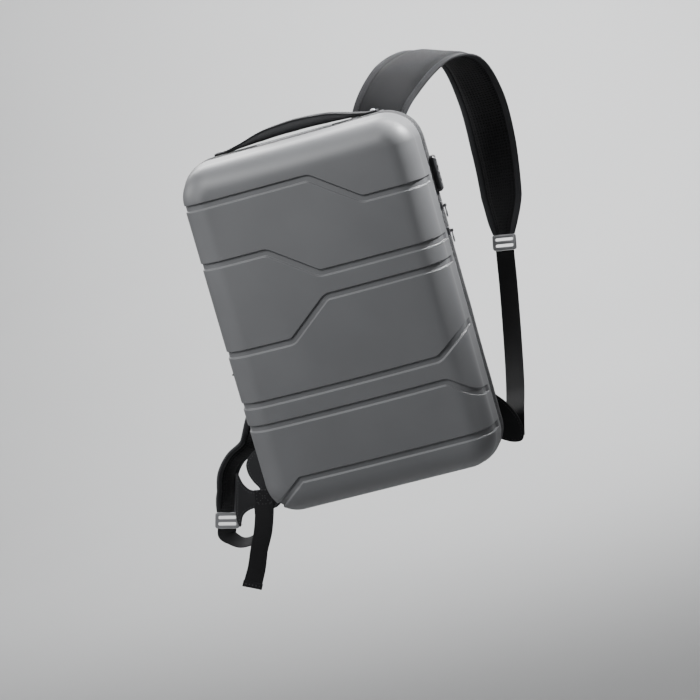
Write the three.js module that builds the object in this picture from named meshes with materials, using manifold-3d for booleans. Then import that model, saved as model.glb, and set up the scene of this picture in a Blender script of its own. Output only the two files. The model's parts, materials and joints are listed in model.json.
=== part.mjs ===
// Hard shell backpack with two padded straps, each in the form it takes when the pack hangs by one.
// Millimetres. The shell faces -Y, the back pads face +Y, +Z is up and +X is right, seen from the
// shell. The origin is the centre of the plane of the back pads.
import * as THREE from 'three';
import { mergeVertices } from 'three/addons/utils/BufferGeometryUtils.js';
import Module from 'manifold-3d';

const wasm = await Module();
wasm.setup();

// Pack
const PACK_WIDTH = 310;
const PACK_HEIGHT = 460;
const PACK_CORNER = 45;
const CLEAR = 0.3;

// Back, from the pads to the case
const PAD_THICK = 10;
const PAD_WIDTH = 108;
const PAD_HEIGHT = 300;
const PAD_GAP = 30;
const PAD_TOP = 142;
const PAD_ROUND = 22;
const PAD_EDGE = 4;
const PANEL_THICK = 3;
const PANEL_MARGIN = 22;

// Soft case between the back panel and the zip
const CASE_DEPTH = 54;
const CASE_WALL = 3;
const CASE_INSET = 2;
const CASE_ROUND = 14;

// Zip and rim strip, all round the front edge of the case
const ZIP_BAND = 10;
const ZIP_TAPE = 1.5;
const ZIP_TAPE_INSET = 2.5;
const COIL_WIDTH = 5;
const COIL_THICK = 1.7;
const RIM_STRIP_WIDTH = 3.2;
const RIM_STRIP_THICK = 2.6;
const RIM_STRIP_PROUD = 0.5;
const RIM_STRIP_EDGE = 0.6;
const RIM_STRIP_SLOPE = 0.9;

// Moulded shell
const SHELL_DEPTH = 58;
const SHELL_CROWN = 14;
const SHELL_EDGE = 34;
const SHELL_DRAFT = 4;
const SHELL_WALL = 2.2;

// Grooves in the shell: width at the face, width at the floor, depth, and how near they come to
// the rim
const GROOVE_WIDTH = 9.4;
const GROOVE_FLOOR = 4.6;
const GROOVE_DEPTH = 2.4;
const GROOVE_RIM_GAP = 9;
const GROOVE_STEP = 48;
const GROOVE_CUT_ABOVE = 3;
const GROOVE_EDGE_SHARE = 0.465;
const GROOVE_OVERSHOOT = 1.1;
const EDGE_ANGLES = [90, 66, 44, 22, 0];

// Top handle
const HANDLE_SPAN = 214;
const HANDLE_RISE = 10.4;
const HANDLE_WIDTH = 28;
const HANDLE_THICK = 13.5;
const HANDLE_END_SHARE = 0.22;
const HANDLE_BASE_THICK = 2.4;
const HANDLE_BASE_WIDTH = 34;
const HANDLE_BASE_MARGIN = 12;
const HANDLE_FROM_ZIP = 24;
const RIVET_RADIUS = 3.2;
const RIVET_HEIGHT = 1.8;
const RIVET_TAPER = 0.7;
const TOP_BAR_LENGTH = 99;
const TOP_BAR_WIDTH = 4.5;
const TOP_BAR_HEIGHT = 3.4;
const TOP_BAR_FROM_ZIP = 1;

// Combination lock on the right side
const LOCK_HEIGHT = 46;
const LOCK_WIDTH = 19;
const LOCK_PROUD = 9;
const LOCK_UP = 0.3 * PACK_HEIGHT;
const LOCK_FROM_ZIP = 14;
const LOCK_CHAMFER = 2;
const LOCK_CORNER = 3;
const DIAL_COUNT = 3;
const DIAL_RADIUS = 4.4;
const DIAL_WIDTH = 4.2;
const DIAL_PITCH = 8;
const DIAL_PROUD = 1;
const DIAL_CLEAR = 0.5;
const AXLE_RADIUS = 1.2;
const AXLE_CLEAR = 0.4;

// Zip sliders and their pulls on the right side
const SLIDER_HEIGHT = 10;
const SLIDER_WIDTH = 8.4;
const SLIDER_THICK = 2.6;
const SLIDER_UPS = [0.213 * PACK_HEIGHT, 0.1424 * PACK_HEIGHT];
const EAR_WIDTH = 1.4;
const EAR_GAP = 3.6;
const EAR_REACH = 4.6;
const EAR_HEIGHT = 3.4;
const EAR_ROOT = 1;
const PIN_RADIUS = 0.9;
const EYE_RADIUS = 2.3;
const EYE_CLEAR = 0.4;
const PULL_LENGTH = 14;
const PULL_WIDTH = 2.8;
const PULL_THICK = 1.5;

// Side tab on the left
const TAB_UP = -0.098 * PACK_HEIGHT;
const TAB_WIDTH = 18;
const TAB_REACH = 13;
const TAB_THICK = 3;

// Shoulder straps
const STRAP_WIDTH = 68;
const STRAP_THICK = 11;
const WEBBING_WIDTH = 25;
const WEBBING_THICK = 1.8;
const HEM_LENGTH = 8;
const HEM_THICK = 4.2;
const LOOP_DEPTH = 200;
const WING_THICK = 4;
const BUCKLE_WIDTH = 32;
const BUCKLE_HEIGHT = 21;
const BUCKLE_THICK = 4;
const BUCKLE_BAR = 4;
const BUCKLE_ROUND = 3;

// Depths worked out from the sizes above
const PANEL_Y = -(PAD_THICK + CLEAR);
const CASE_BACK_Y = PANEL_Y - PANEL_THICK - CLEAR;
const CASE_FRONT_Y = CASE_BACK_Y - CASE_DEPTH;
const TAPE_FRONT_Y = CASE_FRONT_Y - CLEAR - ZIP_BAND;
const STRIP_FRONT_Y = TAPE_FRONT_Y - CLEAR - RIM_STRIP_WIDTH;
const RIM_Y = STRIP_FRONT_Y - CLEAR;
const CASE_TOP_Z = PACK_HEIGHT / 2 - CASE_INSET;
const CASE_SIDE_X = PACK_WIDTH / 2 - CASE_INSET;
const COIL_Y = (CASE_FRONT_Y + TAPE_FRONT_Y) / 2;
const COIL_INSET = ZIP_TAPE_INSET - CLEAR - COIL_THICK;
const STRAIGHT_WALL = SHELL_DEPTH - SHELL_EDGE;

// Materials
function finish(color, roughness, metalness) {
  return () => new THREE.MeshStandardMaterial({ color, roughness, metalness });
}
const shellFinish = finish(0x6d7075, 0.42, 0.35);
const clothFinish = finish(0x17181a, 0.92, 0);
const strapFinish = finish(0x222326, 0.9, 0);
const webbingFinish = finish(0x101112, 0.85, 0);
const tapeFinish = finish(0x1c1d1f, 0.8, 0);
const coilFinish = finish(0x2a2b2e, 0.5, 0);
const stripFinish = finish(0x85888c, 0.45, 0.3);
const metalFinish = finish(0x9a9da1, 0.3, 0.9);
const plasticFinish = finish(0x3a3c40, 0.45, 0.1);
const buckleFinish = finish(0x8d9094, 0.4, 0.4);

const group = new THREE.Group();

function add(name, geometry, makeFinish) {
  const mesh = new THREE.Mesh(geometry, makeFinish());
  mesh.name = name;
  group.add(mesh);
  return mesh;
}

// Solids and booleans
function positionsOnly(geometry) {
  const bare = geometry.index ? geometry.toNonIndexed() : geometry.clone();
  bare.deleteAttribute('normal');
  bare.deleteAttribute('uv');
  return mergeVertices(bare, 1e-4);
}

function toSolid(geometry) {
  const bare = positionsOnly(geometry);
  const vertProperties = new Float32Array(bare.attributes.position.array);
  const triVerts = new Uint32Array(bare.index.array);
  return new wasm.Manifold(new wasm.Mesh({ numProp: 3, vertProperties, triVerts }));
}

function toGeometry(solid) {
  const mesh = solid.getMesh();
  const geometry = new THREE.BufferGeometry();
  geometry.setAttribute('position', new THREE.BufferAttribute(mesh.vertProperties, 3));
  geometry.setIndex(new THREE.BufferAttribute(mesh.triVerts, 1));
  return geometry;
}

function box(width, depth, height, x, y, z) {
  return new THREE.BoxGeometry(width, depth, height).translate(x, y, z);
}

function signedVolume(points, index) {
  let volume = 0;
  for (let i = 0; i < index.length; i += 3) {
    const [a, b, c] = [points[index[i]], points[index[i + 1]], points[index[i + 2]]];
    volume += a.dot(b.clone().cross(c)) / 6;
  }
  return volume;
}

// A closed body through rings of equally many points. An open row of rings is capped by fans from
// the middles of its end rings, and a looped row joins its last ring to its first.
function loft(rings, looped = false) {
  const count = rings[0].length;
  const points = rings.flat();
  const index = [];
  const bands = looped ? rings.length : rings.length - 1;
  for (let band = 0; band < bands; band += 1) {
    const near = band * count;
    const far = ((band + 1) % rings.length) * count;
    for (let i = 0; i < count; i += 1) {
      const next = (i + 1) % count;
      index.push(near + i, near + next, far + next, near + i, far + next, far + i);
    }
  }
  if (!looped) {
    const ends = [[rings[0], 0, true], [rings.at(-1), points.length - count, false]];
    for (const [ring, start, flip] of ends) {
      const middle = points.length;
      points.push(ring.reduce((sum, p) => sum.add(p), new THREE.Vector3()).divideScalar(count));
      for (let i = 0; i < count; i += 1) {
        const next = (i + 1) % count;
        index.push(middle, start + (flip ? next : i), start + (flip ? i : next));
      }
    }
  }
  if (signedVolume(points, index) < 0) index.reverse();
  return new THREE.BufferGeometry().setFromPoints(points).setIndex(index);
}

// Outline of the pack, moved inward by an inset, as points on the XZ plane at one depth
function packRing(inset, y, cornerSteps = 5, sideSteps = 1, endSteps = 1, lift = () => 0) {
  const halfWidth = PACK_WIDTH / 2 - inset;
  const halfHeight = PACK_HEIGHT / 2 - inset;
  const radius = Math.max(PACK_CORNER - inset, 4);
  const corners = [[1, 1, 0], [-1, 1, 90], [-1, -1, 180], [1, -1, 270]];
  const turned = corners.map(([sx, sz, start]) => {
    const arc = [];
    for (let k = 0; k <= cornerSteps; k += 1) {
      const angle = THREE.MathUtils.degToRad(start + (90 * k) / cornerSteps);
      arc.push([
        sx * (halfWidth - radius) + radius * Math.cos(angle),
        sz * (halfHeight - radius) + radius * Math.sin(angle),
      ]);
    }
    return arc;
  });
  const points = [];
  turned.forEach((arc, i) => {
    points.push(...arc);
    const from = arc.at(-1);
    const to = turned[(i + 1) % 4][0];
    const steps = i % 2 === 0 ? endSteps : sideSteps;
    for (let k = 1; k < steps; k += 1) {
      const share = k / steps;
      points.push([from[0] + (to[0] - from[0]) * share, from[1] + (to[1] - from[1]) * share]);
    }
  });
  return points.map(([x, z]) => new THREE.Vector3(x, y - lift(x, z), z));
}

// A ring of even section round the pack: [inset, depth] for each corner of the section
function packBand(section, cornerSteps = 5) {
  return loft(section.map(([inset, y]) => packRing(inset, y, cornerSteps)), true);
}

// Shell face
function crown(x, z) {
  const across = (2 * x) / PACK_WIDTH;
  const up = (2 * z) / PACK_HEIGHT;
  return SHELL_CROWN * Math.max(0, 1 - across * across) * Math.max(0, 1 - up * up);
}

function crownSlope(x, z) {
  const across = (2 * x) / PACK_WIDTH;
  const up = (2 * z) / PACK_HEIGHT;
  const slopeX = ((-4 * across) / PACK_WIDTH) * SHELL_CROWN * Math.max(0, 1 - up * up);
  const slopeZ = ((-4 * up) / PACK_HEIGHT) * SHELL_CROWN * Math.max(0, 1 - across * across);
  return [slopeX, slopeZ];
}

function edgeProfile(degrees, wall = 0) {
  const angle = THREE.MathUtils.degToRad(degrees);
  const radius = SHELL_EDGE - wall;
  return {
    inset: wall + SHELL_DRAFT + radius * (1 - Math.cos(angle)),
    rise: STRAIGHT_WALL + radius * Math.sin(angle),
  };
}

// The shell's form moved inward by a wall, from below its rim to the middle of its face
function shellForm(wall, below, { edge, corner, side, end, shares }) {
  const flat = packRing(wall, RIM_Y + below, corner, side, end);
  const rings = [flat];
  for (let k = 0; k <= edge; k += 1) {
    const { inset, rise } = edgeProfile((90 * k) / edge, wall);
    rings.push(packRing(inset, RIM_Y - rise, corner, side, end, crown));
  }
  const last = rings.at(-1);
  const { rise } = edgeProfile(90, wall);
  for (const share of shares) {
    rings.push(last.map((p) => new THREE.Vector3(
      p.x * share, RIM_Y - rise - crown(p.x * share, p.z * share), p.z * share)));
  }
  return toSolid(loft(rings));
}

// Grooves. Each row is a point of the middle line, in shares of the pack's width and height, and
// an end at 0.5 runs over the edge and down the side wall.
const GROOVES = [
  [[-0.5, 0.392], [0.045, 0.392], [0.235, 0.3], [0.5, 0.298]],
  [[-0.5, 0.229], [-0.194, 0.229], [-0.006, 0.139], [0.5, 0.136]],
  [[-0.5, -0.021], [-0.187, -0.021], [-0.008, 0.074], [0.5, 0.072]],
  [[-0.5, -0.168], [0.358, -0.168], [0.5, -0.102]],
  [[-0.5, -0.233], [0.361, -0.233], [0.445, -0.278], [0.5, -0.298]],
  [[-0.48, -0.47], [-0.319, -0.396], [0.5, -0.398]],
];

function insetAt(x, z) {
  const qx = Math.abs(x) - (PACK_WIDTH / 2 - PACK_CORNER);
  const qz = Math.abs(z) - (PACK_HEIGHT / 2 - PACK_CORNER);
  return PACK_CORNER - Math.hypot(Math.max(qx, 0), Math.max(qz, 0)) - Math.min(Math.max(qx, qz), 0);
}

function outwardAt(x, z) {
  const qx = Math.max(Math.abs(x) - (PACK_WIDTH / 2 - PACK_CORNER), 0);
  const qz = Math.max(Math.abs(z) - (PACK_HEIGHT / 2 - PACK_CORNER), 0);
  if (qx + qz > 0) return new THREE.Vector3(Math.sign(x) * qx, 0, Math.sign(z) * qz).normalize();
  return new THREE.Vector3(Math.sign(x), 0, 0);
}

// Where a stretch from an inner point to one past the edge reaches an inset
function crossing(inner, outer, inset) {
  let [low, high] = [0, 1];
  for (let k = 0; k < 30; k += 1) {
    const middle = (low + high) / 2;
    const x = inner.x + (outer.x - inner.x) * middle;
    const z = inner.y + (outer.y - inner.y) * middle;
    if (insetAt(x, z) > inset) low = middle;
    else high = middle;
  }
  return inner.clone().lerp(outer, low);
}

function stationOn(flat, degrees, rise) {
  const [slopeX, slopeZ] = crownSlope(flat.x, flat.y);
  const tilt = THREE.MathUtils.degToRad(degrees);
  const normal = outwardAt(flat.x, flat.y).multiplyScalar(Math.cos(tilt));
  normal.add(new THREE.Vector3(-slopeX, -1, -slopeZ).multiplyScalar(Math.sin(tilt))).normalize();
  return { point: new THREE.Vector3(flat.x, RIM_Y - rise - crown(flat.x, flat.y), flat.y), normal };
}

// Stations from the face over the edge and down the wall, for an end that runs to the rim
function edgeStations(inner, outer, rimGap) {
  const stations = [];
  for (const degrees of EDGE_ANGLES) {
    const { inset, rise } = edgeProfile(degrees);
    stations.push(stationOn(crossing(inner, outer, inset), degrees, rise));
  }
  const inset = (SHELL_DRAFT * rimGap) / STRAIGHT_WALL;
  stations.push(stationOn(crossing(inner, outer, inset), 0, rimGap));
  return stations;
}

function groovePath(rows, rimGap) {
  const flats = rows.map(([across, up]) => new THREE.Vector2(across * PACK_WIDTH, up * PACK_HEIGHT));
  const reach = (inner, outer) => inner.clone().lerp(outer, GROOVE_OVERSHOOT);
  const atEdge = ([across, up]) => Math.max(Math.abs(across), Math.abs(up)) > GROOVE_EDGE_SHARE;
  const stations = [];
  const last = flats.length - 1;
  let from = flats[0];
  if (atEdge(rows[0])) {
    const ends = edgeStations(flats[1], reach(flats[1], flats[0]), rimGap).reverse();
    stations.push(...ends);
    from = new THREE.Vector2(ends.at(-1).point.x, ends.at(-1).point.z);
  }
  for (let i = 1; i <= last; i += 1) {
    const closing = i === last && atEdge(rows[last]);
    const ends = closing ? edgeStations(flats[i - 1], reach(flats[i - 1], flats[i]), rimGap) : [];
    const to = closing ? new THREE.Vector2(ends[0].point.x, ends[0].point.z) : flats[i];
    const steps = Math.max(1, Math.round(from.distanceTo(to) / GROOVE_STEP));
    for (let k = 1; k < steps; k += 1) {
      stations.push(stationOn(from.clone().lerp(to, k / steps), 90, SHELL_DEPTH));
    }
    if (closing) stations.push(...ends);
    else stations.push(stationOn(to, 90, SHELL_DEPTH));
    from = to;
  }
  return stations;
}

// A bar that follows a groove path, with a wider top and a narrower bottom, measured from the face
function grooveBar(rows, { rimGap, top, topWidth, bottom, bottomWidth }) {
  const stations = groovePath(rows, rimGap);
  const rings = stations.map(({ point, normal }, i) => {
    const before = stations[Math.max(i - 1, 0)].point;
    const after = stations[Math.min(i + 1, stations.length - 1)].point;
    const arriving = point.clone().sub(before).normalize();
    const leaving = after.clone().sub(point).normalize();
    const along = arriving.clone().add(leaving).normalize();
    const side = along.clone().cross(normal).normalize();
    const half = i > 0 && i < stations.length - 1 ? Math.sqrt((1 + arriving.dot(leaving)) / 2) : 1;
    const turn = Math.abs(arriving.clone().cross(leaving).dot(normal)) > 0.05 ? 1 / half : 1;
    const corner = (height, width) => point.clone()
      .addScaledVector(normal, height)
      .addScaledVector(side, (width * turn) / 2);
    return [
      corner(top, -topWidth), corner(top, topWidth),
      corner(bottom, bottomWidth), corner(bottom, -bottomWidth),
    ];
  });
  return toSolid(loft(rings));
}

function frontShell() {
  const slope = (GROOVE_WIDTH - GROOVE_FLOOR) / GROOVE_DEPTH;
  const cut = {
    rimGap: GROOVE_RIM_GAP,
    top: GROOVE_CUT_ABOVE,
    topWidth: GROOVE_WIDTH + slope * GROOVE_CUT_ABOVE,
    bottom: -GROOVE_DEPTH,
    bottomWidth: GROOVE_FLOOR,
  };
  const rib = {
    rimGap: GROOVE_RIM_GAP - SHELL_WALL,
    top: -SHELL_WALL / 2,
    topWidth: GROOVE_WIDTH + SHELL_WALL,
    bottom: -GROOVE_DEPTH - SHELL_WALL,
    bottomWidth: GROOVE_FLOOR + SHELL_WALL,
  };
  const fine = { edge: 5, corner: 5, side: 5, end: 4, shares: [0.76, 0.5, 0.25] };
  const plain = { edge: 3, corner: 3, side: 3, end: 3, shares: [0.66, 0.33] };
  let outer = shellForm(0, 0, fine);
  let cavity = shellForm(SHELL_WALL, 1, plain);
  for (const rows of GROOVES) {
    outer = outer.subtract(grooveBar(rows, cut));
    cavity = cavity.subtract(grooveBar(rows, rib));
  }
  return toGeometry(outer.subtract(cavity));
}

add('front_shell', frontShell(), shellFinish);

// Rim strip, zip tape and coil
const stripBackY = STRIP_FRONT_Y + RIM_STRIP_WIDTH;
const stripCrest = -RIM_STRIP_PROUD;
add('rim_strip', packBand([
  [stripCrest, STRIP_FRONT_Y + RIM_STRIP_EDGE],
  [stripCrest, stripBackY - RIM_STRIP_EDGE],
  [stripCrest + RIM_STRIP_SLOPE, stripBackY],
  [RIM_STRIP_THICK, stripBackY],
  [RIM_STRIP_THICK, STRIP_FRONT_Y],
  [stripCrest + RIM_STRIP_SLOPE, STRIP_FRONT_Y],
]), stripFinish);

add('zip_tape', packBand([
  [ZIP_TAPE_INSET, TAPE_FRONT_Y],
  [ZIP_TAPE_INSET, CASE_FRONT_Y - CLEAR],
  [ZIP_TAPE_INSET + ZIP_TAPE, CASE_FRONT_Y - CLEAR],
  [ZIP_TAPE_INSET + ZIP_TAPE, TAPE_FRONT_Y],
]), tapeFinish);

add('zip_coil', packBand([
  [COIL_INSET, COIL_Y - COIL_WIDTH / 4],
  [COIL_INSET, COIL_Y + COIL_WIDTH / 4],
  [COIL_INSET + COIL_THICK, COIL_Y + COIL_WIDTH / 2],
  [COIL_INSET + COIL_THICK, COIL_Y - COIL_WIDTH / 2],
]), coilFinish);

// Soft case, open to the front
function rearCase() {
  const rounded = (wall, sections) => sections.map((degrees) => {
    const angle = THREE.MathUtils.degToRad(degrees);
    const radius = CASE_ROUND - wall;
    const inset = CASE_INSET + wall + radius * (1 - Math.cos(angle));
    return packRing(inset, CASE_BACK_Y - CASE_ROUND + radius * Math.sin(angle), 5);
  });
  const outside = rounded(0, [90, 60, 30, 0]);
  const inside = rounded(CASE_WALL, [0, 30, 60, 90]);
  return loft([
    ...outside,
    packRing(CASE_INSET, CASE_FRONT_Y, 5),
    packRing(CASE_INSET + CASE_WALL, CASE_FRONT_Y, 5),
    ...inside,
  ]);
}

add('rear_case', rearCase(), clothFinish);

// Back panel and pads
add('back_panel', loft([
  packRing(PANEL_MARGIN, PANEL_Y - PANEL_THICK, 4),
  packRing(PANEL_MARGIN, PANEL_Y, 4),
]), clothFinish);

function roundedRectangle(width, height, radius) {
  const shape = new THREE.Shape();
  const [x, y] = [width / 2, height / 2];
  shape.moveTo(-x + radius, -y);
  shape.lineTo(x - radius, -y);
  shape.absarc(x - radius, -y + radius, radius, -Math.PI / 2, 0);
  shape.lineTo(x, y - radius);
  shape.absarc(x - radius, y - radius, radius, 0, Math.PI / 2);
  shape.lineTo(-x + radius, y);
  shape.absarc(-x + radius, y - radius, radius, Math.PI / 2, Math.PI);
  shape.lineTo(-x, -y + radius);
  shape.absarc(-x + radius, -y + radius, radius, Math.PI, 1.5 * Math.PI);
  return shape;
}

// A plate with its outline on the XZ plane, from the depth y towards -Y
function plateXZ(shape, thickness, y, curveSegments = 4) {
  const settings = { depth: thickness, bevelEnabled: false, curveSegments };
  const plate = new THREE.ExtrudeGeometry(shape, settings);
  return plate.rotateX(Math.PI / 2).translate(0, y, 0);
}

function backPad() {
  const rings = [[PAD_EDGE, 0], [0, PAD_EDGE], [0, PAD_THICK]].map(([inset, depth]) => {
    const shape = roundedRectangle(PAD_WIDTH - 2 * inset, PAD_HEIGHT - 2 * inset, PAD_ROUND - inset);
    return shape.getSpacedPoints(40).slice(0, -1).map((p) => new THREE.Vector3(p.x, -depth, p.y));
  });
  return loft(rings);
}

for (const [name, side] of [['back_pad_left', -1], ['back_pad_right', 1]]) {
  const pad = add(name, backPad(), clothFinish);
  pad.position.set((side * (PAD_GAP + PAD_WIDTH)) / 2, 0, PAD_TOP - PAD_HEIGHT / 2);
}

// Straps and webbing. A strip runs through rows of a middle point, a width, a thickness and the
// direction of its width, and its section is a flat octagon.
function stripRows(rows, scale) {
  return rows.map(([across, out, up, width, thick, side]) => ({
    point: new THREE.Vector3(across * scale.across, out * scale.out, up * scale.up),
    width: width * scale.width,
    thick: thick * scale.thick,
    side: new THREE.Vector3(...side),
  }));
}

function stripSolid(rows, steps) {
  const curve = new THREE.CatmullRomCurve3(rows.map((row) => row.point), false, 'centripetal');
  const last = rows.length - 1;
  const rings = [];
  for (let k = 0; k <= last * steps; k += 1) {
    const at = k / (last * steps);
    const row = Math.min(Math.floor(k / steps), last - 1);
    const share = k / steps - row;
    const mix = (key) => THREE.MathUtils.lerp(rows[row][key], rows[row + 1][key], share);
    const tangent = curve.getTangent(at);
    const wide = rows[row].side.clone().normalize();
    wide.lerp(rows[row + 1].side.clone().normalize(), share);
    wide.addScaledVector(tangent, -wide.dot(tangent)).normalize();
    const deep = wide.clone().cross(tangent).normalize();
    const half = mix('width') / 2;
    const thin = mix('thick') / 2;
    const shoulder = Math.min(thin * 1.2, half / 2);
    const section = [
      [half, thin * 0.4], [half - shoulder, thin], [shoulder - half, thin], [-half, thin * 0.4],
      [-half, -thin * 0.4], [shoulder - half, -thin], [half - shoulder, -thin], [half, -thin * 0.4],
    ];
    const middle = curve.getPoint(at);
    rings.push(section.map(([w, d]) => (
      middle.clone().addScaledVector(wide, w).addScaledVector(deep, d))));
  }
  return loft(rings);
}

// Rows of the shoulder pads: across and up in shares of the pack, out in shares of the loop's
// depth, width and thickness in shares of the strap's, then the direction of the width
const RIGHT_PAD = [
  [0.268, -0.02, 0.33, 0.92, 0.7, [1, 0, -0.25]],
  [0.29, -0.013, 0.41, 1, 0.75, [1, 0, -0.33]],
  [0.325, 0.035, 0.488, 1, 1, [0.9, 0, -0.42]],
  [0.42, 0.18, 0.562, 1, 1, [0.75, -0.1, -0.6]],
  [0.56, 0.45, 0.602, 1, 1, [0.8, -0.45, -0.35]],
  [0.665, 0.73, 0.562, 1, 1, [0.85, -0.5, -0.1]],
  [0.7, 0.93, 0.44, 0.98, 1, [0.95, -0.3, 0]],
  [0.695, 0.99, 0.29, 0.92, 1, [1, 0, 0]],
  [0.672, 0.96, 0.14, 0.82, 1, [1, 0, 0]],
  [0.652, 0.91, 0.07, 0.6, 0.7, [1, 0, 0]],
  [0.643, 0.885, 0.035, 0.44, 0.5, [1, 0, 0]],
];

const LEFT_PAD = [
  [-0.24, -0.02, 0.33, 0.92, 0.7, [1, 0, 0]],
  [-0.243, -0.013, 0.4, 1, 0.75, [1, 0, 0]],
  [-0.247, 0.055, 0.437, 1, 1, [1, 0, 0]],
  [-0.254, 0.112, 0.4, 1, 1, [1, 0, 0]],
  [-0.27, 0.085, 0.31, 1, 1, [1, 0, 0]],
  [-0.295, 0.05, 0.16, 1, 1, [1, 0, -0.1]],
  [-0.335, 0.042, 0.0, 0.96, 1, [1, 0, -0.2]],
  [-0.395, 0.042, -0.16, 0.88, 1, [1, 0.1, -0.35]],
  [-0.505, 0.052, -0.275, 0.78, 1, [0.81, 0.34, -0.47]],
  [-0.585, 0.06, -0.326, 0.72, 0.95, [0.25, 0.8, -0.5]],
  [-0.662, 0.06, -0.35, 0.68, 0.9, [0.3, 0.87, -0.4]],
  [-0.714, 0.058, -0.388, 0.64, 0.8, [0.42, 0.87, -0.28]],
  [-0.74, 0.055, -0.436, 0.58, 0.7, [0.5, 0.85, -0.18]],
  [-0.7565, 0.046, -0.479, 0.48, 0.6, [0.8, 0.55, -0.25]],
  [-0.7645, 0.042, -0.4975, 0.42, 0.5, [0.9, 0.3, -0.28]],
];

const padScale = {
  across: PACK_WIDTH, out: LOOP_DEPTH, up: PACK_HEIGHT, width: STRAP_WIDTH, thick: STRAP_THICK,
};
const webbingScale = { ...padScale, width: WEBBING_WIDTH, thick: WEBBING_THICK };
const rightPadRows = stripRows(RIGHT_PAD, padScale);
const leftPadRows = stripRows(LEFT_PAD, padScale);

add('strap_pad_right', stripSolid(rightPadRows, 3), strapFinish);
add('strap_pad_left', stripSolid(leftPadRows, 2), strapFinish);

// Wings: cloth plates sewn on the back panel's lower corners, points across and up in shares
const WING_OUTLINE = [
  [0.418, -0.315], [0.571, -0.339], [0.613, -0.366], [0.618, -0.395], [0.607, -0.421],
  [0.588, -0.449], [0.626, -0.445], [0.651, -0.422], [0.664, -0.386], [0.692, -0.44],
  [0.722, -0.515],
  [0.715, -0.542], [0.69, -0.512], [0.655, -0.5], [0.601, -0.5], [0.548, -0.512],
  [0.49, -0.49], [0.4, -0.43],
];
const RIGHT_WING_OUTLINE = [
  [0.418, -0.315], [0.5, -0.36], [0.545, -0.41], [0.562, -0.46], [0.545, -0.495], [0.49, -0.49],
  [0.4, -0.43],
];
const WING_BACK_Y = PANEL_Y + CLEAR + WING_THICK;
const WING_FRONT_Y = PANEL_Y + CLEAR;

function wing(outline, side) {
  const shape = new THREE.Shape(outline.map(([across, up]) => new THREE.Vector2(
    side * across * PACK_WIDTH, up * PACK_HEIGHT)));
  return plateXZ(shape, WING_THICK, WING_BACK_Y);
}

add('wing_left', wing(WING_OUTLINE, -1), strapFinish);
add('wing_right', wing(RIGHT_WING_OUTLINE, 1), strapFinish);

// Ladder lock: a flat frame with two slots and three bars
function ladderLock() {
  const frame = roundedRectangle(BUCKLE_WIDTH, BUCKLE_HEIGHT, BUCKLE_ROUND);
  const slotHeight = (BUCKLE_HEIGHT - 3 * BUCKLE_BAR) / 2;
  for (const side of [-1, 1]) {
    const slot = roundedRectangle(BUCKLE_WIDTH - 2 * BUCKLE_BAR, slotHeight, slotHeight / 2.5);
    const lift = (side * (slotHeight + BUCKLE_BAR)) / 2;
    const edge = slot.getPoints(3).map((p) => new THREE.Vector2(p.x, p.y + lift));
    frame.holes.push(new THREE.Path(edge));
  }
  return plateXZ(frame, BUCKLE_THICK, BUCKLE_THICK / 2, 3);
}

// A ladder lock sits at the end of its pad and carries on its line. The webbing leaves its foot.
function lockAtEnd(name, rows) {
  const [before, end] = rows.slice(-2);
  const up = before.point.clone().sub(end.point).normalize();
  const wide = end.side.clone().addScaledVector(up, -end.side.dot(up)).normalize();
  const buckle = add(name, ladderLock(), buckleFinish);
  buckle.quaternion.setFromRotationMatrix(new THREE.Matrix4().makeBasis(wide, up.clone().cross(wide), up));
  buckle.position.copy(end.point).addScaledVector(up, -(2 * CLEAR + BUCKLE_HEIGHT / 2));
  return [0, WEBBING_WIDTH / 4].map((drop) => ({
    point: end.point.clone().addScaledVector(up, -(4 * CLEAR + BUCKLE_HEIGHT + drop)),
    width: WEBBING_WIDTH,
    thick: WEBBING_THICK,
    side: wide,
  }));
}

const rightFeet = lockAtEnd('ladder_lock_right', rightPadRows);
const leftFeet = lockAtEnd('ladder_lock_left', leftPadRows);

// Webbing from the foot of each ladder lock to the wing, with its last rows flat on the wing
const RIGHT_WEBBING = [
  [0.612, 0.78, -0.1, 1, 1, [1, 0, 0]],
  [0.578, 0.52, -0.26, 1, 1, [1, 0, 0]],
  [0.557, 0.22, -0.365, 1, 1, [1, 0, 0]],
  [0.542, 0.02, -0.42, 1, 1, [1, 0, 0.1]],
  [0.533, 0.004, -0.442, 1, 1, [1, 0, 0.1]],
  [0.52, 0, -0.478, 1, 1, [1, 0, 0.2]],
];

const LEFT_ANCHOR = [
  [-0.775, 0.03, -0.574, 0.8, 1, [0.75, 0.6, 0.3]],
  [-0.735, 0.02, -0.593, 0.8, 1, [0.3, 0.9, 0.43]],
  [-0.675, 0.006, -0.589, 0.8, 1, [-0.2, 0.9, 0.35]],
  [-0.633, -0.012, -0.556, 0.8, 1, [-0.5, 0.6, 0.45]],
  [-0.609, -0.02, -0.523, 0.9, 1, [-0.88, 0.1, 0.42]],
  [-0.597, 0, -0.488, 0.92, 1, [-0.9, 0, 0.4]],
  [-0.589, 0, -0.466, 0.92, 1, [-0.9, 0, 0.4]],
];

const LEFT_TAIL = [
  [-0.572, 0, -0.452, 1, 1, [1, 0, -0.4]],
  [-0.588, 0, -0.5, 1, 1, [1, 0, -0.4]],
  [-0.622, -0.062, -0.566, 0.98, 1, [1, 0.15, -0.4]],
  [-0.662, -0.062, -0.618, 0.94, 1, [1, 0.3, -0.4]],
  [-0.695, -0.058, -0.668, 0.96, 1, [1, 0.25, -0.35]],
  [-0.727, -0.055, -0.706, 1, 1, [1, 0.15, -0.3]],
];

function seated(rows, seatY, seats) {
  for (const seat of seats) rows.at(seat).point.y += seatY;
  return rows;
}

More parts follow.
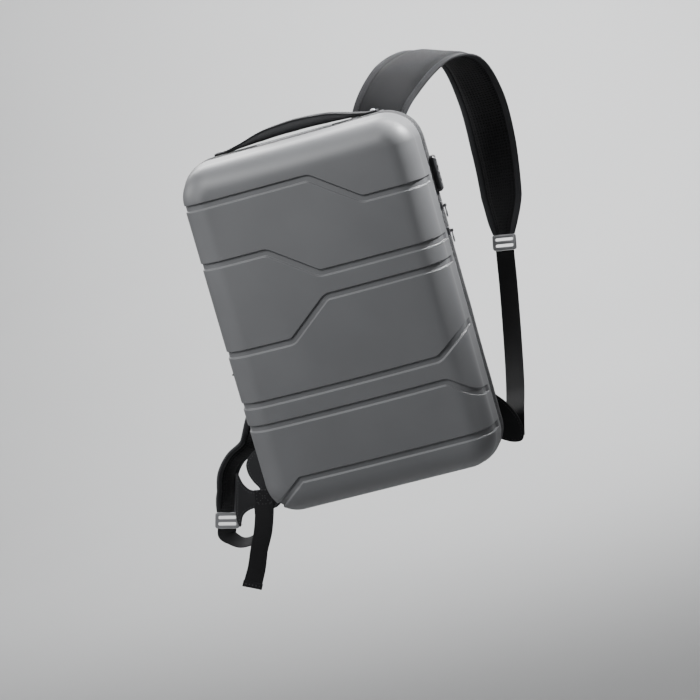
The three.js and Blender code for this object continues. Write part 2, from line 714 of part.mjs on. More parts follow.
// The folded and stitched end carries on the tail's line
function hemRows(rows) {
  const [before, end] = rows.slice(-2);
  const along = end.point.clone().sub(before.point).normalize();
  return [CLEAR, CLEAR + HEM_LENGTH].map((reach) => ({
    ...end,
    point: end.point.clone().addScaledVector(along, reach),
    thick: HEM_THICK,
  }));
}

const backSeatY = WING_BACK_Y + CLEAR + WEBBING_THICK / 2;
const frontSeatY = WING_FRONT_Y - CLEAR - WEBBING_THICK / 2;
const rightSewn = seated(stripRows(RIGHT_WEBBING, webbingScale), backSeatY, [-1, -2, -3]);
const leftSewn = seated(stripRows(LEFT_ANCHOR, webbingScale), backSeatY, [-1, -2]);
const rightWebbingRows = [...rightFeet, ...rightSewn];
const leftAnchorRows = [...leftFeet, ...leftSewn];
const leftTailRows = seated(stripRows(LEFT_TAIL, webbingScale), frontSeatY, [0, 1]);

add('webbing_right', stripSolid(rightWebbingRows, 3), webbingFinish);
add('webbing_left_anchor', stripSolid(leftAnchorRows, 2), webbingFinish);
add('webbing_left_tail', stripSolid(leftTailRows, 2), webbingFinish);
add('webbing_left_hem', stripSolid(hemRows(leftTailRows), 1), webbingFinish);

// Top handle
const handleY = CASE_FRONT_Y + HANDLE_FROM_ZIP;
const handleBaseZ = CASE_TOP_Z + CLEAR;
const handleEndThick = HANDLE_THICK * HANDLE_END_SHARE;
const handleFootZ = handleBaseZ + HANDLE_BASE_THICK + CLEAR + handleEndThick / 2;

add('handle_base', box(HANDLE_SPAN + HANDLE_BASE_MARGIN, HANDLE_BASE_WIDTH, HANDLE_BASE_THICK,
  0, handleY, handleBaseZ + HANDLE_BASE_THICK / 2), plasticFinish);

const HANDLE_ARCH = [
  [-0.5, 0, 0.9, HANDLE_END_SHARE], [-0.44, 0, 0.95, HANDLE_END_SHARE],
  [-0.34, 0.3, 1, 0.42], [-0.2, 0.78, 1, 0.85], [0, 1, 1, 1], [0.2, 0.78, 1, 0.85],
  [0.34, 0.3, 1, 0.42], [0.44, 0, 0.95, HANDLE_END_SHARE], [0.5, 0, 0.9, HANDLE_END_SHARE],
];

function handleStrip() {
  return stripSolid(HANDLE_ARCH.map(([across, rise, width, thick]) => ({
    point: new THREE.Vector3(across * HANDLE_SPAN, handleY, handleFootZ + rise * HANDLE_RISE),
    width: width * HANDLE_WIDTH,
    thick: thick * HANDLE_THICK,
    side: new THREE.Vector3(0, 1, 0),
  })), 2);
}

add('top_handle', handleStrip(), strapFinish);

for (const [name, side] of [['handle_rivet_left', -1], ['handle_rivet_right', 1]]) {
  const rivet = new THREE.CylinderGeometry(RIVET_RADIUS * RIVET_TAPER, RIVET_RADIUS, RIVET_HEIGHT, 14);
  const head = add(name, rivet.rotateX(Math.PI / 2), metalFinish);
  head.position.set(side * (HANDLE_SPAN / 2 - HANDLE_BASE_MARGIN / 2), handleY,
    handleFootZ + handleEndThick / 2 + CLEAR + RIVET_HEIGHT / 2);
}

add('top_bar', box(TOP_BAR_LENGTH, TOP_BAR_WIDTH, TOP_BAR_HEIGHT,
  0, CASE_FRONT_Y + TOP_BAR_WIDTH / 2 + TOP_BAR_FROM_ZIP, handleBaseZ + TOP_BAR_HEIGHT / 2),
metalFinish);

// Combination lock
const lockX = CASE_SIDE_X + CLEAR;
const lockY = CASE_FRONT_Y + LOCK_FROM_ZIP;
const dialX = lockX + LOCK_PROUD + DIAL_PROUD - DIAL_RADIUS;

function dialUps() {
  const middle = (DIAL_COUNT - 1) / 2;
  return Array.from({ length: DIAL_COUNT }, (_, i) => LOCK_UP + (i - middle) * DIAL_PITCH);
}

function lockBody() {
  const ring = (inset, x) => {
    const [y, z] = [LOCK_WIDTH / 2 - inset, LOCK_HEIGHT / 2 - inset];
    const [inY, inZ] = [y - LOCK_CORNER, z - LOCK_CORNER];
    return [
      [inY, z], [-inY, z], [-y, inZ], [-y, -inZ], [-inY, -z], [inY, -z], [y, -inZ], [y, inZ],
    ].map(([dy, dz]) => new THREE.Vector3(x, lockY + dy, LOCK_UP + dz));
  };
  let body = toSolid(loft([
    ring(0, lockX), ring(0, lockX + LOCK_PROUD - LOCK_CHAMFER), ring(LOCK_CHAMFER, lockX + LOCK_PROUD),
  ]));
  for (const up of dialUps()) {
    const slot = box(LOCK_PROUD * 3, 2 * (DIAL_RADIUS + DIAL_CLEAR), DIAL_WIDTH + 2 * DIAL_CLEAR,
      lockX, lockY, up);
    body = body.subtract(toSolid(slot));
  }
  const axle = new THREE.CylinderGeometry(AXLE_RADIUS, AXLE_RADIUS, DIAL_COUNT * DIAL_PITCH, 12);
  return toGeometry(body.add(toSolid(axle.rotateX(Math.PI / 2).translate(dialX, lockY, LOCK_UP))));
}

function dial() {
  const boreRadius = AXLE_RADIUS + AXLE_CLEAR;
  const wheel = new THREE.CylinderGeometry(DIAL_RADIUS, DIAL_RADIUS, DIAL_WIDTH, 20);
  const bore = new THREE.CylinderGeometry(boreRadius, boreRadius, DIAL_WIDTH * 2, 12);
  return toGeometry(toSolid(wheel).subtract(toSolid(bore))).rotateX(Math.PI / 2);
}

add('lock_body', lockBody(), plasticFinish);
dialUps().forEach((up, i) => {
  add(`lock_dial_${i + 1}`, dial(), metalFinish).position.set(dialX, lockY, up);
});

// Zip sliders with their pulls
const coilTopX = PACK_WIDTH / 2 - COIL_INSET;
const sliderX = coilTopX + CLEAR;
const pinX = sliderX + SLIDER_THICK + EYE_RADIUS + EYE_CLEAR;

function slider() {
  let body = toSolid(box(SLIDER_THICK, SLIDER_WIDTH, SLIDER_HEIGHT, SLIDER_THICK / 2, 0, 0));
  const pin = new THREE.CylinderGeometry(PIN_RADIUS, PIN_RADIUS, EAR_GAP + EAR_WIDTH, 10);
  body = body.add(toSolid(pin.translate(pinX - sliderX, 0, 0)));
  for (const side of [-1, 1]) {
    const ear = box(EAR_REACH + EAR_ROOT, EAR_WIDTH, EAR_HEIGHT,
      SLIDER_THICK - EAR_ROOT + (EAR_REACH + EAR_ROOT) / 2, (side * (EAR_GAP + EAR_WIDTH)) / 2, 0);
    body = body.add(toSolid(ear));
  }
  return toGeometry(body);
}

function pull() {
  const boreRadius = PIN_RADIUS + EYE_CLEAR;
  const eye = new THREE.CylinderGeometry(EYE_RADIUS, EYE_RADIUS, PULL_WIDTH, 16);
  const bore = new THREE.CylinderGeometry(boreRadius, boreRadius, PULL_WIDTH * 2, 12);
  const blade = box(PULL_THICK, PULL_WIDTH, PULL_LENGTH, 0, 0, -PULL_LENGTH / 2 - PIN_RADIUS);
  return toGeometry(toSolid(eye).add(toSolid(blade)).subtract(toSolid(bore)));
}

SLIDER_UPS.forEach((up, i) => {
  const name = ['upper', 'lower'][i];
  add(`zip_slider_${name}`, slider(), metalFinish).position.set(sliderX, COIL_Y, up);
  add(`zip_pull_${name}`, pull(), metalFinish).position.set(pinX, COIL_Y, up);
});

// Side tab on the left
add('side_tab', box(TAB_REACH, TAB_WIDTH, TAB_THICK,
  -(CASE_SIDE_X + CLEAR + TAB_REACH / 2), (CASE_BACK_Y + CASE_FRONT_Y) / 2, TAB_UP), webbingFinish);

export default group;
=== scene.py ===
"""Hard shell backpack: the finished look of each piece, built around the packed CAD part."""

import json
import math

import bmesh
import bpy
from bpy.props import FloatProperty, FloatVectorProperty, IntProperty, PointerProperty
from mathutils import Matrix, Vector, noise

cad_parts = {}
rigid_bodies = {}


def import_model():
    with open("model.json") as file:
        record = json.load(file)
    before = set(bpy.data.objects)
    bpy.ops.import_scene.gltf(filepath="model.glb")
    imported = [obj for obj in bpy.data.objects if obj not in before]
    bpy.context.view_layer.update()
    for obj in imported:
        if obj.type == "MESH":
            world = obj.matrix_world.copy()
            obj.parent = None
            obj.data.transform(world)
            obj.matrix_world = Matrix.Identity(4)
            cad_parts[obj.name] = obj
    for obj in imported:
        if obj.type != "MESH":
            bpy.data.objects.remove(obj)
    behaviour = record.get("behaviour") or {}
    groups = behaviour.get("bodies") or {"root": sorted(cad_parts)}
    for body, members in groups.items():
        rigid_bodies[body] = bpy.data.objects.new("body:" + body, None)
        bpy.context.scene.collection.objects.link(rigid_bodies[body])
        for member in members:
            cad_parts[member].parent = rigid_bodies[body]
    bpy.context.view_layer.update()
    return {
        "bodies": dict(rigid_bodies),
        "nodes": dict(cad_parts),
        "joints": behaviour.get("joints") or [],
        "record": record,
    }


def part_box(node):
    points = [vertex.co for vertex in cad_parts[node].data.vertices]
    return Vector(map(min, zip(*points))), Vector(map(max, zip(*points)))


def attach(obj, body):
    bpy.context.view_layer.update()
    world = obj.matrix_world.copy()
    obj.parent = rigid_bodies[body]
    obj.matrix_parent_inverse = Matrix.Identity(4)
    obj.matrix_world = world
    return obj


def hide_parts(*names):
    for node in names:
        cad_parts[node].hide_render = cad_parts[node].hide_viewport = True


bl_info = {
    "name": "Hard shell backpack",
    "version": (1, 0, 0),
    "blender": (4, 5, 0),
    "location": "View3D > Sidebar > Backpack",
    "description": "Builds the shell, case, straps, lock, zip and stage of a hard shell backpack",
    "category": "Object",
}

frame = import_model()

MM = 0.001
SHELL_LOW, SHELL_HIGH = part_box("front_shell")
WIDTH = SHELL_HIGH.x - SHELL_LOW.x
HEIGHT = SHELL_HIGH.z - SHELL_LOW.z
RIM_Y = SHELL_HIGH.y
CORNER = 45 * MM
CLEAR = 0.3 * MM

# The shell's form, as in the solid: a crowned face, a rolled edge and a short straight wall
CROWN = 14 * MM
ROLL = 34 * MM
DRAFT = 4 * MM
STRAIGHT = 24 * MM
WALL = 2.2 * MM
RIM_GAP = 9 * MM

# Middle lines of the grooves, as shares of the width and the height
GROOVES = [
    [(-0.5, 0.392), (0.045, 0.392), (0.235, 0.3), (0.5, 0.298)],
    [(-0.5, 0.229), (-0.194, 0.229), (-0.006, 0.139), (0.5, 0.136)],
    [(-0.5, -0.021), (-0.187, -0.021), (-0.008, 0.074), (0.5, 0.072)],
    [(-0.5, -0.168), (0.358, -0.168), (0.5, -0.102)],
    [(-0.5, -0.233), (0.361, -0.233), (0.445, -0.278), (0.5, -0.298)],
    [(-0.5, -0.396), (-0.319, -0.396), (0.5, -0.398)],
]
# The lowest groove leaves its line here and runs out over the bottom corner
CORNER_GROOVE = [(-0.319, -0.396), (-0.52, -0.5)]

# Straps: across and up in shares of the pack, out in shares of the loop's depth, then the width
# and thickness in shares of the strap's, then the direction of the width
LOOP_DEPTH = 200 * MM
STRAP_WIDTH = 68 * MM
STRAP_THICK = 11 * MM
WEBBING_WIDTH = 25 * MM
WEBBING_THICK = 1.8 * MM
RIGHT_PAD = [
    (0.268, -0.02, 0.33, 0.92, 0.7, (1, 0, -0.25)),
    (0.29, -0.013, 0.41, 1, 0.75, (1, 0, -0.33)),
    (0.325, 0.035, 0.488, 1, 1, (0.9, 0, -0.42)),
    (0.42, 0.18, 0.562, 1, 1, (0.75, -0.1, -0.6)),
    (0.56, 0.45, 0.602, 1, 1, (0.8, -0.45, -0.35)),
    (0.665, 0.73, 0.562, 1, 1, (0.85, -0.5, -0.1)),
    (0.7, 0.93, 0.44, 0.98, 1, (0.95, -0.3, 0)),
    (0.695, 0.99, 0.29, 0.92, 1, (1, 0, 0)),
    (0.672, 0.96, 0.14, 0.82, 1, (1, 0, 0)),
    (0.652, 0.91, 0.07, 0.6, 0.7, (1, 0, 0)),
    (0.643, 0.885, 0.035, 0.44, 0.5, (1, 0, 0)),
]
LEFT_PAD = [
    (-0.24, -0.02, 0.33, 0.92, 0.7, (1, 0, 0)),
    (-0.243, -0.013, 0.4, 1, 0.75, (1, 0, 0)),
    (-0.247, 0.055, 0.437, 1, 1, (1, 0, 0)),
    (-0.254, 0.112, 0.4, 1, 1, (1, 0, 0)),
    (-0.27, 0.085, 0.31, 1, 1, (1, 0, 0)),
    (-0.295, 0.05, 0.16, 1, 1, (1, 0, -0.1)),
    (-0.335, 0.042, 0.0, 0.96, 1, (1, 0, -0.2)),
    (-0.395, 0.042, -0.16, 0.88, 1, (1, 0.1, -0.35)),
    (-0.505, 0.052, -0.275, 0.78, 1, (0.81, 0.34, -0.47)),
    (-0.585, 0.06, -0.326, 0.72, 0.95, (0.25, 0.8, -0.5)),
    (-0.662, 0.06, -0.35, 0.68, 0.9, (0.3, 0.87, -0.4)),
    (-0.714, 0.058, -0.388, 0.64, 0.8, (0.42, 0.87, -0.28)),
    (-0.74, 0.055, -0.436, 0.58, 0.7, (0.5, 0.85, -0.18)),
    (-0.7565, 0.046, -0.479, 0.48, 0.6, (0.8, 0.55, -0.25)),
    (-0.7645, 0.042, -0.4975, 0.42, 0.5, (0.9, 0.3, -0.28)),
]
RIGHT_WEBBING = [
    (0.612, 0.78, -0.1, 1, 1, (1, 0, 0)),
    (0.578, 0.52, -0.26, 1, 1, (1, 0, 0)),
    (0.557, 0.22, -0.365, 1, 1, (1, 0, 0)),
    (0.542, 0.02, -0.42, 1, 1, (1, 0, 0.1)),
    (0.533, 0.004, -0.442, 1, 1, (1, 0, 0.1)),
    (0.52, 0, -0.478, 1, 1, (1, 0, 0.2)),
]
LEFT_ANCHOR = [
    (-0.775, 0.03, -0.574, 0.8, 1, (0.75, 0.6, 0.3)),
    (-0.735, 0.02, -0.593, 0.8, 1, (0.3, 0.9, 0.43)),
    (-0.675, 0.006, -0.589, 0.8, 1, (-0.2, 0.9, 0.35)),
    (-0.633, -0.012, -0.556, 0.8, 1, (-0.5, 0.6, 0.45)),
    (-0.609, -0.02, -0.523, 0.9, 1, (-0.88, 0.1, 0.42)),
    (-0.597, 0, -0.488, 0.92, 1, (-0.9, 0, 0.4)),
    (-0.589, 0, -0.466, 0.92, 1, (-0.9, 0, 0.4)),
]
LEFT_TAIL = [
    (-0.572, 0, -0.452, 1, 1, (1, 0, -0.4)),
    (-0.588, 0, -0.5, 1, 1, (1, 0, -0.4)),
    (-0.622, -0.062, -0.566, 0.98, 1, (1, 0.15, -0.4)),
    (-0.662, -0.062, -0.618, 0.94, 1, (1, 0.3, -0.4)),
    (-0.695, -0.058, -0.668, 0.96, 1, (1, 0.25, -0.35)),
    (-0.727, -0.055, -0.706, 1, 1, (1, 0.15, -0.3)),
]
WING_LEFT = [
    (0.418, -0.315), (0.571, -0.339), (0.613, -0.366), (0.618, -0.395), (0.607, -0.421),
    (0.588, -0.449), (0.626, -0.445), (0.651, -0.422), (0.664, -0.386), (0.692, -0.44),
    (0.722, -0.515), (0.715, -0.542), (0.69, -0.512), (0.655, -0.5), (0.601, -0.5),
    (0.548, -0.512), (0.49, -0.49), (0.4, -0.43),
]
WING_RIGHT = [
    (0.418, -0.315), (0.5, -0.36), (0.545, -0.41), (0.562, -0.46), (0.545, -0.495),
    (0.49, -0.49), (0.4, -0.43),
]
# Top handle: across and rise in shares of its span and rise, then width and thickness shares
HANDLE_ARCH = [
    (-0.5, 0, 0.9, 0.22), (-0.44, 0, 0.95, 0.22), (-0.34, 0.3, 1, 0.42), (-0.2, 0.78, 1, 0.85),
    (0, 1, 1, 1), (0.2, 0.78, 1, 0.85), (0.34, 0.3, 1, 0.42), (0.44, 0, 0.95, 0.22),
    (0.5, 0, 0.9, 0.22),
]

# Other sizes and steps
LOCK_HEIGHT = 21 * MM  # a ladder lock's, along its webbing
WEBBING_STEPS = 12  # stations from one row of a webbing table to the next
ARCH_THICK = 13.5 * MM
ARCH_RISE = 10.4 * MM
HEM_LENGTH = 8 * MM
CASE_BEND = 14 * MM
CASE_WALL = 3 * MM
CASE_STEPS = (12, 34, 48)  # at each corner, end and side of an outline
# Depth of the band of the case next to the shell that is painted lighter, as lit cloth
PAINTED_LIGHT_BAND = 25 * MM
GUSSET_SWELL = 3.4 * MM
PAD_CORNER = 22 * MM
PAD_SEAM = 7 * MM
PAD_PUFF = 4 * MM  # the furthest that pressure moves a point
PAD_VOXEL = 4.5 * MM  # of the remesh before the cloth simulation
CLOTH_FRAMES = 20
CLOTH_PRESSURE = 4

# Stage: the camera was fitted to the outline of the shell in the photo
PHOTO_PIXELS = 700
FOCAL_PIXELS = 2376.5
SENSOR = 36  # its width in millimetres
CAMERA_PLACE = (0.4836, -3.0131, 0.3666)
CAMERA_RIGHT = Vector((0.95491646, 0.12045526, -0.27133945))
CAMERA_UP = Vector((0.24848697, 0.17582137, 0.95254453))
FLOOR_LEVEL = -1.3
FLOOR_BEND_START = 5.5  # where the paper turns up behind the pack
FLOOR_BEND = 2.5


def length(name, description, default):
    return FloatProperty(name=name, description=description, default=default, unit="LENGTH")


def tint(name, description, default):
    return FloatVectorProperty(name=name, description=description, default=default, size=3,
                               subtype="COLOR")


class BackpackSizes(bpy.types.PropertyGroup):
    """Sizes that change the look without changing the solids."""

    groove_width: length("Groove width", "Width of a shell groove between its lips", 9.4 * MM)
    groove_floor: length("Groove floor", "Width of the flat bottom of a groove", 6.2 * MM)
    groove_depth: length("Groove depth", "Depth of a shell groove", 2.4 * MM)
    binding: length("Edge binding", "Width of the tape bound round a strap's edges", 8 * MM)
    stitch_pitch: length("Stitch pitch", "From one stitch to the next", 4 * MM)
    tooth_pitch: length("Zip tooth pitch", "From one turn of the zip's coil to the next", 1.9 * MM)
    dial_numbers: IntProperty(name="Dial numbers", default=10,
                              description="How many numbers go round each dial")


class BackpackColours(bpy.types.PropertyGroup):
    """Base colours of the finishes."""

    shell: tint("Shell", "Moulded shell", (0.107, 0.1095, 0.1145))
    case_cloth: tint("Case cloth", "Woven cloth of the soft case", (0.013, 0.013, 0.0145))
    strap_cloth: tint("Strap cloth", "Cloth of the shoulder straps", (0.017, 0.0173, 0.0187))
    webbing: tint("Webbing", "Straps' webbing", (0.007, 0.007, 0.0078))
    rim: tint("Rim strip", "Strip along the shell's edge", (0.03, 0.0305, 0.032))
    metal: tint("Metal", "Zip sliders, rivets and dials", (0.5, 0.5, 0.52))
    buckle: tint("Buckle", "Ladder locks", (0.2, 0.204, 0.212))


# Finishes
class Value:
    """A number socket of a finish, so that sums on it are written as Python."""

    def __init__(self, finish, socket):
        self.finish = finish
        self.socket = socket

    def math(self, operation, *others):
        return self.finish.math(operation, self, *others)

    def __add__(self, other):
        return self.math("ADD", other)

    __radd__ = __add__

    def __sub__(self, other):
        return self.math("SUBTRACT", other)

    def __rsub__(self, other):
        return self.finish.math("SUBTRACT", other, self)

    def __mul__(self, other):
        return self.math("MULTIPLY", other)

    __rmul__ = __mul__

    def __truediv__(self, other):
        return self.math("DIVIDE", other)

    def __pow__(self, other):
        return self.math("POWER", other)

    def steps(self, low, high):
        """0 below low, 1 above high and smooth between them."""
        settings = {"interpolation_type": "SMOOTHSTEP"}
        return self.finish.node("MapRange", settings, [self, low, high, 0.0, 1.0])[0]

    def wave(self):
        """Round humps from 0 to 1 and back, one to each unit."""
        return (self * math.pi).math("SINE").math("ABSOLUTE")


class Finish:
    """A material under construction."""

    def __init__(self, name):
        self.material = bpy.data.materials.new(name)
        self.material.use_nodes = True
        self.tree = self.material.node_tree
        self.tree.nodes.clear()
        self.shader = self.tree.nodes.new("ShaderNodeBsdfPrincipled")
        output = self.tree.nodes.new("ShaderNodeOutputMaterial")
        self.tree.links.new(self.shader.outputs[0], output.inputs["Surface"])

    def connect(self, socket, value):
        if isinstance(value, Value):
            value = value.socket
        if isinstance(value, bpy.types.NodeSocket):
            self.tree.links.new(value, socket)
        elif value is not None:
            socket.default_value = value

    def node(self, kind, settings=None, values=()):
        """Adds a node: its settings first, then its sockets, by name or by place in a list."""
        made = self.tree.nodes.new("ShaderNode" + kind)
        for key, value in (settings or {}).items():
            setattr(made, key, value)
        pairs = values.items() if isinstance(values, dict) else enumerate(values)
        for key, value in pairs:
            self.connect(made.inputs[key], value)
        return [Value(self, socket) for socket in made.outputs]

    def math(self, operation, *values):
        return self.node("Math", {"operation": operation}, values)[0]

    def mix(self, share, one, other):
        """A colour between two colours."""
        values = {0: share, 6: self.colour(one), 7: self.colour(other)}
        return self.node("Mix", {"data_type": "RGBA"}, values)[2]

    def colour(self, value):
        return (*value, 1.0) if isinstance(value, tuple) and len(value) == 3 else value

    def place(self):
        """The place on the object, in metres."""
        return self.node("TexCoord")[3]

    def split(self, vector):
        return self.node("SeparateXYZ", None, [vector])

    def cloth_place(self):
        """Across and along a cloth, in metres, from the piece's own UV map."""
        across, along, _ = self.split(self.node("UVMap", {"uv_map": "cloth"})[0])
        return across, along

    def grain(self, scale, detail=3.0, roughness=0.5, vector=None):
        values = {"Vector": vector or self.place(), "Scale": scale, "Detail": detail,
                  "Roughness": roughness}
        return self.node("TexNoise", None, values)[0]

    def bump(self, height, distance, strength=1.0, under=None):
        values = {"Strength": strength, "Distance": distance, "Height": height}
        if under is not None:
            values["Normal"] = under
        return self.node("Bump", None, values)[0]

    def dress(self, **sockets):
        """Sets or links sockets of the shader, named with underscores for spaces."""
        for name, value in sockets.items():
            self.connect(self.shader.inputs[name.replace("_", " ")], self.colour(value))
        return self.material


def shade(colour, share):
    """A colour made lighter or darker."""
    return tuple(min(1.0, part * share) for part in colour)


def moulded_plastic(name, colour, roughness, fine=900.0, depth=0.05 * MM, metallic=0.0):
    """Moulded plastic with a fine sand grain, cloudy gloss and faint rubbed places."""
    finish = Finish(name)
    sand = finish.grain(fine, 2.0)
    cloud = finish.grain(14.0, 4.0)
    rub = finish.grain(60.0, 6.0, 0.7).steps(0.6, 0.8)
    base = finish.mix(cloud.steps(0.3, 0.7), shade(colour, 0.96), shade(colour, 1.03))
    return finish.dress(
        Base_Color=finish.mix(rub * 0.05, base.socket, shade(colour, 1.4)),
        Roughness=roughness - 0.03 + cloud * 0.03 + rub * 0.02 + sand * 0.03,
        Metallic=metallic,
        Specular_IOR_Level=0.35,
        Normal=finish.bump(sand, depth, 0.35),
    )


def brushed_metal(name, colour, roughness=0.3):
    """Cast and tumbled metal: fine drag lines, darker in the hollows."""
    finish = Finish(name)
    drag = {"Vector": finish.place(), "Scale": (300.0, 300.0, 3000.0)}
    lines = finish.grain(1.0, 3.0, vector=finish.node("Mapping", None, drag)[0])
    spots = finish.grain(500.0, 3.0)
    return finish.dress(
        Base_Color=finish.mix(spots.steps(0.35, 0.7), shade(colour, 0.7), colour),
        Metallic=1.0,
        Roughness=roughness + lines * 0.18 + spots * 0.06 - 0.1,
        Normal=finish.bump(lines + spots * 0.4, 0.03 * MM, 0.3),
    )


def woven(name, colour, yarn, depth, sheen=0.25, contrast=0.5, twill=0.0, roughness=0.82, pill=0.3):
    """Plain or twill weave laid along the cloth's own UV map. yarn is the width of one yarn."""
    finish = Finish(name)
    across, along = finish.cloth_place()
    warp, weft = across / yarn, along / yarn
    over = (warp.math("FLOOR") + weft.math("FLOOR") * (1.0 + twill)).math("FLOORED_MODULO", 2.0)
    over = over.steps(0.4, 0.6)
    warp_hump, weft_hump = warp.wave(), weft.wave()
    up = warp_hump ** 0.6 * (0.35 + 0.65 * weft_hump)
    flat = weft_hump ** 0.6 * (0.35 + 0.65 * warp_hump)
    height = up * over + flat * (1.0 - over)
    fuzz = finish.grain(2600.0, 2.0)
    cloud = finish.grain(26.0, 4.0, 0.6)
    # The colour is painted shade and highlight: darker in the weave's low parts, lighter on the
    # raised yarns, mixed with random cloudy tone and pilled fuzz.
    lift = height * 0.75 + cloud * 0.5 - 0.1 + fuzz * 0.12 * pill
    return finish.dress(
        Base_Color=finish.mix(lift, shade(colour, 1.0 - contrast), shade(colour, 1.0 + contrast)),
        Roughness=roughness + cloud * 0.1 - height * 0.06,
        Specular_IOR_Level=0.15,
        Sheen_Weight=sheen * 0.3,
        Sheen_Roughness=0.5,
        Sheen_Tint=(0.6, 0.6, 0.62, 1.0),
        Normal=finish.bump(height + fuzz * 0.25 * pill, depth, 0.8),
    )


def ribbed_webbing(name, colour):
    """Belt webbing: ribs across the tape, crossed by slanting yarns."""
    finish = Finish(name)
    across, along = finish.cloth_place()
    rib = (along / (1.9 * MM)).wave() ** 0.7
    lean = (along / (0.95 * MM) + across / (1.3 * MM)).wave()
    rows = (across / (1.3 * MM)).wave() ** 0.5
    fuzz = finish.grain(2400.0, 2.0)
    height = rib * 0.55 + lean * rows * 0.45
    cloud = finish.grain(40.0, 3.0)
    # The colour is painted shade and highlight: darker between the ribs and slanting yarns, lighter
    # on their tops, mixed with random cloudy tone.
    lift = height * 0.7 + cloud * 0.3
    return finish.dress(
        Base_Color=finish.mix(lift, shade(colour, 0.55), shade(colour, 1.6)),
        Roughness=0.72 + cloud * 0.12,
        Specular_IOR_Level=0.15,
        Sheen_Weight=0.04,
        Sheen_Roughness=0.45,
        Normal=finish.bump(height + fuzz * 0.15, 0.28 * MM, 0.9),
    )


def spacer_mesh(name, colour, pitch=4.2 * MM):
    """Thick knitted mesh with rows of open cells."""
    finish = Finish(name)
    across, along = finish.cloth_place()
    vector = finish.node("CombineXYZ", None, [across / pitch, along / pitch, 0.0])[0]
    cell = finish.node("TexVoronoi", {"feature": "F1", "distance": "EUCLIDEAN"},
                       {"Vector": vector, "Scale": 1.0, "Randomness": 0.12})[0]
    hole = 1.0 - cell.steps(0.2, 0.36)
    fuzz = finish.grain(2200.0, 2.0)
    height = (1.0 - hole) * (0.8 + (along / (0.8 * MM)).wave() * 0.2) + fuzz * 0.12
    # Painted shade: the open cells are coloured a quarter as light as the cloth, as shade inside
    # them, and the knit round them lighter.
    return finish.dress(
        Base_Color=finish.mix(hole, shade(colour, 1.25), shade(colour, 0.25)),
        Roughness=0.86 + fuzz * 0.08,
        Specular_IOR_Level=0.15,
        Sheen_Weight=0.06,
        Sheen_Roughness=0.5,
        Normal=finish.bump(height, 0.9 * MM, 0.9),
    )


def thread(name, colour):
    """Twisted sewing thread."""
    finish = Finish(name)
    x, y, z = finish.split(finish.place())
    twist = ((x + y + z) / (0.45 * MM)).wave()
    # The colour is painted shade and highlight along the twist: darker in the grooves between the
    # plies, lighter on their crowns.
    return finish.dress(Base_Color=finish.mix(twist, shade(colour, 0.6), shade(colour, 1.25)),
                        Roughness=0.6 + twist * 0.1, Normal=finish.bump(twist, 0.06 * MM, 0.6))


FINISHES = {}


def finishes():
    """The finishes, made once and shared."""
    if FINISHES:
        return FINISHES
    group = bpy.context.scene.backpack_colours
    tints = {key: tuple(getattr(group, key)) for key in BackpackColours.__annotations__}
    pale = shade(tints["strap_cloth"], 1.7)
    FINISHES.update(
        shell=moulded_plastic("satin shell", tints["shell"], 0.5, 1100.0, 0.035 * MM,
                              metallic=0.12),
        rim=moulded_plastic("rim strip", tints["rim"], 0.34, 900.0, metallic=0.2),
        case=woven("case cloth", tints["case_cloth"], 0.75 * MM, 0.3 * MM, sheen=0.3),
        panel=woven("panel cloth", tints["case_cloth"], 0.9 * MM, 0.35 * MM, sheen=0.2,
                    twill=0.5),
        tape=woven("zip tape", (0.035, 0.0355, 0.038), 0.45 * MM, 0.16 * MM, sheen=0.15, twill=0.5),
        coil=moulded_plastic("zip coil", (0.03, 0.03, 0.033), 0.3, 1500.0),
        strap=woven("strap cloth", tints["strap_cloth"], 0.6 * MM, 0.22 * MM, sheen=0.16,
                    contrast=0.35),
        binding=woven("edge binding", pale, 0.5 * MM, 0.2 * MM, sheen=0.2, twill=0.5),
        mesh=spacer_mesh("spacer mesh", shade(tints["strap_cloth"], 0.7)),
        webbing=ribbed_webbing("webbing", tints["webbing"]),
        thread=thread("thread", (0.05, 0.05, 0.054)),
        metal=brushed_metal("tumbled metal", tints["metal"]),
        bar=brushed_metal("satin bar", (0.3, 0.305, 0.315), 0.42),
        # A lighter copy of the case cloth: painted light on the band of the case next to the shell.
        gusset=woven("gusset cloth", (0.052, 0.0525, 0.055), 0.75 * MM, 0.3 * MM, sheen=0.25),
        lock=moulded_plastic("lock plastic", (0.03, 0.0305, 0.033), 0.36, 1200.0),
        grip=woven("grip cloth", (0.045, 0.0455, 0.048), 1.1 * MM, 0.45 * MM, sheen=0.3),
        dial=brushed_metal("dial metal", (0.12, 0.12, 0.125), 0.35),
        figure=moulded_plastic("dial numbers", (0.6, 0.6, 0.6), 0.5, 1200.0),
        buckle=moulded_plastic("buckle plastic", tints["buckle"], 0.34, 900.0, metallic=0.15),
    )
    return FINISHES


# Meshes
def placed(name, data):
    """A new object in the scene."""
    made = bpy.data.objects.new(name, data)
    bpy.context.scene.collection.objects.link(made)
    return made


def set_piece(name, bm, paints, body="root", replaces=(), sharp=40.0):
    """Makes a bmesh into a finished piece that rides on its body."""
    mesh = bpy.data.meshes.new(name)
    bm.to_mesh(mesh)
    bm.free()
    for paint in paints:
        mesh.materials.append(finishes()[paint])
    mesh.polygons.foreach_set("use_smooth", [True] * len(mesh.polygons))
    if sharp:
        mesh.set_sharp_from_angle(angle=math.radians(sharp))
    made = placed(name, mesh)
    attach(made, body)
    if replaces:
        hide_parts(*replaces)
    return made


def clamped(value):
    return min(max(value, 0.0), 1.0)


def smooth(value):
    """The value held between 0 and 1, with a soft start and end."""
    share = clamped(value)
    return share * share * (3 - 2 * share)


def ring_edges(bm, ring):
    found = [bm.edges.get((ring[i], ring[(i + 1) % len(ring)])) for i in range(len(ring))]
    return [edge for edge in found if edge]


